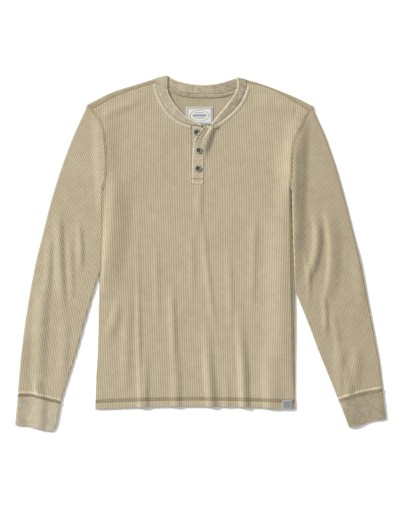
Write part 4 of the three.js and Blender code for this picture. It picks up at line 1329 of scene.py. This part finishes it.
# The buttons. Smoky grey resin, turned with a raised rim round a dished middle. The colour is
# paler on the raised rim and darker in the dished middle. Each has four holes, sewn with brown thread.
BUTTON_RADIUS, BUTTON_HEIGHT, HOLE_PLACE, HOLE_RADIUS = 6.9, 2.4, 1.45, 0.78
RIM = [(0, 0.74), (0.42, 0.75), (0.6, 0.79), (0.7, 0.92), (0.76, 0.98), (0.82, 1), (0.9, 0.96),
       (0.96, 0.82), (1, 0.58)]


def resin_finish():
    material = new_material("smoky_resin")
    dye = Dye(material.node_tree)
    away, _ = dye.layer("cloth").split()
    swirl = dye.speck(dye.spot(), 420, 3, 0.65)
    grain = dye.speck(dye.spot(), 2200, 2)
    # The colour runs from dark in the dished middle to pale on the raised rim.
    paler_edge = away.over(0.58, 0.84) * 0.75 + (swirl - 0.5) * 0.8 + (grain - 0.5) * 0.3
    colour = paler_edge.over(-0.1, 1.0).mix((0.05, 0.04, 0.026), (0.36, 0.37, 0.345))
    dye.shade({"Base Color": colour, "Roughness": 0.3 + grain * 0.25}, swirl, 0.2, 0.0002)
    return material


resin = resin_finish()
brown_thread = thread_finish("brown_thread", (0.14, 0.095, 0.05), (0.42, 0.32, 0.19))
holes = [(HOLE_PLACE * a, HOLE_PLACE * b) for a in (-1, 1) for b in (-1, 1)]


def circle(cx, cy, radius, count):
    return [Vector((cx + radius * math.cos(2 * math.pi * k / count),
                    cy + radius * math.sin(2 * math.pi * k / count))) for k in range(count)]


for number, (bx, by) in enumerate(BUTTON_SPOTS, 1):
    seat = (UNDERLAP_Z + PLACKET_WALL if number == 1 else overlap_top(bx, by) + 0.1) + SEAM_GAP
    rings = [circle(bx, by, BUTTON_RADIUS * r, 56) for r, _ in RIM[1:-1]]
    rings += [circle(bx, by, BUTTON_RADIUS * r, 40) for r in (0.12, 0.24, 0.5)]
    for hx, hy in holes:
        rings += [circle(bx + hx, by + hy, HOLE_RADIUS * r, 14) for r in (1.15, 0.9, 0.5)]
    cut = Cut([("rim", circle(bx, by, BUTTON_RADIUS, 56))], [r + r[:1] for r in rings], insets=(0.12,))
    tops, bottoms, shape = [], [], []
    for p in cut.spots:
        away = math.hypot(p.x - bx, p.y - by) / BUTTON_RADIUS
        hole = min(math.hypot(p.x - bx - hx, p.y - by - hy) for hx, hy in holes) / HOLE_RADIUS
        top = seat + BUTTON_HEIGHT * lookup(RIM, min(away, 1)) - 0.9 * smooth((1.12 - hole) / 0.3)
        tops.append(top)
        bottoms.append(seat + BUTTON_HEIGHT * 0.5 * smooth((away - 0.7) / 0.3))
        shape.append((away, top - seat))
    points, faces = two_faced(cut, tops, bottoms)
    button = piece_mesh(f"button_{number}_resin", points, faces, {"cloth": shape * 2})
    dressed(button, resin, "button", f"button_{number}")
    cross = Thread(50 + number)
    level = seat + BUTTON_HEIGHT * 0.5
    for k in range(2):
        for lane in (-0.25, 0.25):
            a = Vector((bx - HOLE_PLACE, by + HOLE_PLACE * (2 * k - 1) + lane, level))
            b = Vector((bx + HOLE_PLACE, by + HOLE_PLACE * (2 * k - 1) - lane, level))
            cross.stitch(a, b, 0.5, 0.75)
    cross = cross.sewn(f"button_{number}_thread", brown_thread)


# The neck label. A cream label, sewn flat to the inside of the back along its rim. Its frame, its
# oval and its bars are woven in blue-violet yarn.
LABEL = {"left": -29, "right": 29, "bottom": 276.5, "top": 314.3, "wall": 0.5}


def grid_cut(left, right, bottom, top, step):
    ring = [(left, bottom), (right, bottom), (right, top), (left, top), (left, bottom)]
    wide, tall = round((right - left) / step), round((top - bottom) / step)
    lines = [[(left + (right - left) * c / wide, bottom + (top - bottom) * r / tall)
              for r in range(tall + 1)] for c in range(1, wide)]
    return Cut([("rim", evenly(ring, step))], lines, insets=(0.3,))


cut = grid_cut(LABEL["left"], LABEL["right"], LABEL["bottom"], LABEL["top"], 1.6)
tops, shape = [], []
for i, p in enumerate(cut.spots):
    wave = 0.25 * noise.noise(Vector((p.x / 16, p.y / 11, 4))) + 0.12
    rim = cut.distance(i, "rim")
    tops.append(LAYER_REST + LABEL["wall"] + wave * smooth(rim / 4) - roll(rim, 0.6, 0.2))
    shape.append((p.x / 100, (p.y - 295.4) / 100))
points, faces = two_faced(cut, tops, [z - 0.4 for z in tops])
label = piece_mesh("neck_label_woven", points, faces, {"cloth": shape * 2})


def label_finish():
    """Cream weave with a double frame, an oval and three bars. Sizes are in millimetres."""
    material = new_material("woven_label")
    dye = Dye(material.node_tree)
    x, y = (value * 100 for value in dye.layer("cloth").split())
    wide, tall = x.size(), y.size()

    def line(value, middle, half):
        return 1 - (value - middle).size().over(half, half + 0.45)

    def bar(reach, middle, half):
        return (1 - wide.over(reach - 0.3, reach + 0.3)) * line(y, middle, half)

    outer = (wide - 26.2).most(tall - 16.4)
    inner = (wide - 23.6).most(tall - 13.8)
    oval = dye.sum("SQRT", (x * x) / (20.5 * 20.5) + (y * y) / (11.5 * 11.5)) * 11.5
    marks = line(outer, 0, 0.8).most(line(inner, 0, 0.15) * 0.75).most(line(oval, 11.5, 0.4) * 0.85)
    bars = bar(14.5, 0.4, 2.2).most(bar(9, 6.2, 0.9) * 0.8).most(bar(11, -5, 0.9) * 0.8)
    marks = marks.most(bars)
    weft, warp = y.wave(12), x.wave(10)
    fleck = dye.speck(dye.spot(), 700, 2)
    cream = (weft * 0.35 + warp * 0.25 + fleck * 0.6).over(0, 1.2)
    ink = (weft * 0.4 + fleck * 0.5).over(0, 1)
    colour = (marks * (0.62 + weft * 0.3)).mix(cream.mix((0.55, 0.55, 0.47), (0.83, 0.82, 0.72)),
                                               ink.mix((0.07, 0.08, 0.24), (0.20, 0.22, 0.42)))
    dye.shade({"Base Color": colour, "Roughness": 0.7}, weft * 0.6 + warp * 0.4, 0.4, 0.0002)
    return material


dressed(label, label_finish(), "neck_label", "neck_label")
label_sewing = Thread(71)
ring = [Vector(p) for p in ((-28, 277.5), (28, 277.5), (28, 313.3), (-28, 313.3), (-28, 277.5))]
for a, b in zip(ring, ring[1:]):
    label_sewing.row([a, b], lambda x, y: LAYER_REST + LABEL["wall"] + 0.05, pitch=2.4, width=0.6,
                     height=0.35)
label_sewing = label_sewing.sewn("label_stitches", thread_finish(
    "label_thread", (0.30, 0.31, 0.42), (0.62, 0.62, 0.66)))


# The hem tab. A small grey tab of twill, folded over the hem and sewn on. Its rim is paler than its
# middle, with a sunk line of sewing between them.
TAB = {"left": 178, "right": 198.9, "bottom": -335, "top": -315.6, "wall": 0.8}
cut = grid_cut(TAB["left"], TAB["right"], TAB["bottom"], TAB["top"], 1.2)
tops, bottoms, shape = [], [], []
for i, p in enumerate(cut.spots):
    rest = front_inside(p.x, p.y) + FRONT_WALL + RIB_HEIGHT + HEM_DOUBLING + SEAM_GAP
    rim = cut.distance(i, "rim")
    sunk = 0.22 * smooth(1 - abs(rim - 1.5) / 0.8)
    tops.append(rest + TAB["wall"] - roll(rim, 0.8, 0.35) - sunk)
    bottoms.append(rest)
    shape.append((p.x / 100, p.y / 100))
points, faces = two_faced(cut, tops, bottoms)
tab = piece_mesh("hem_tab_woven", points, faces, {"cloth": shape * 2, "edge": [
    (0, cut.distance(i, "rim")) for i in range(len(cut.spots))] * 2})


def tab_finish():
    material = new_material("grey_tab")
    dye = Dye(material.node_tree)
    x, y = (value * 100 for value in dye.layer("cloth").split())
    _, rim = dye.layer("edge").split()
    twill = (x + y).wave(7)
    fleck = dye.speck(dye.spot(), 500, 3)
    shade = (twill * 0.35 + fleck * 0.8 + (1 - rim.over(1.2, 4.2)) * 0.42).over(0.1, 1.4)
    colour = shade.mix((0.16, 0.165, 0.17), (0.47, 0.48, 0.49))
    dye.shade({"Base Color": colour, "Roughness": 0.6}, twill, 0.5, 0.0003)
    return material


dressed(tab, tab_finish(), "hem_tab", "hem_tab")
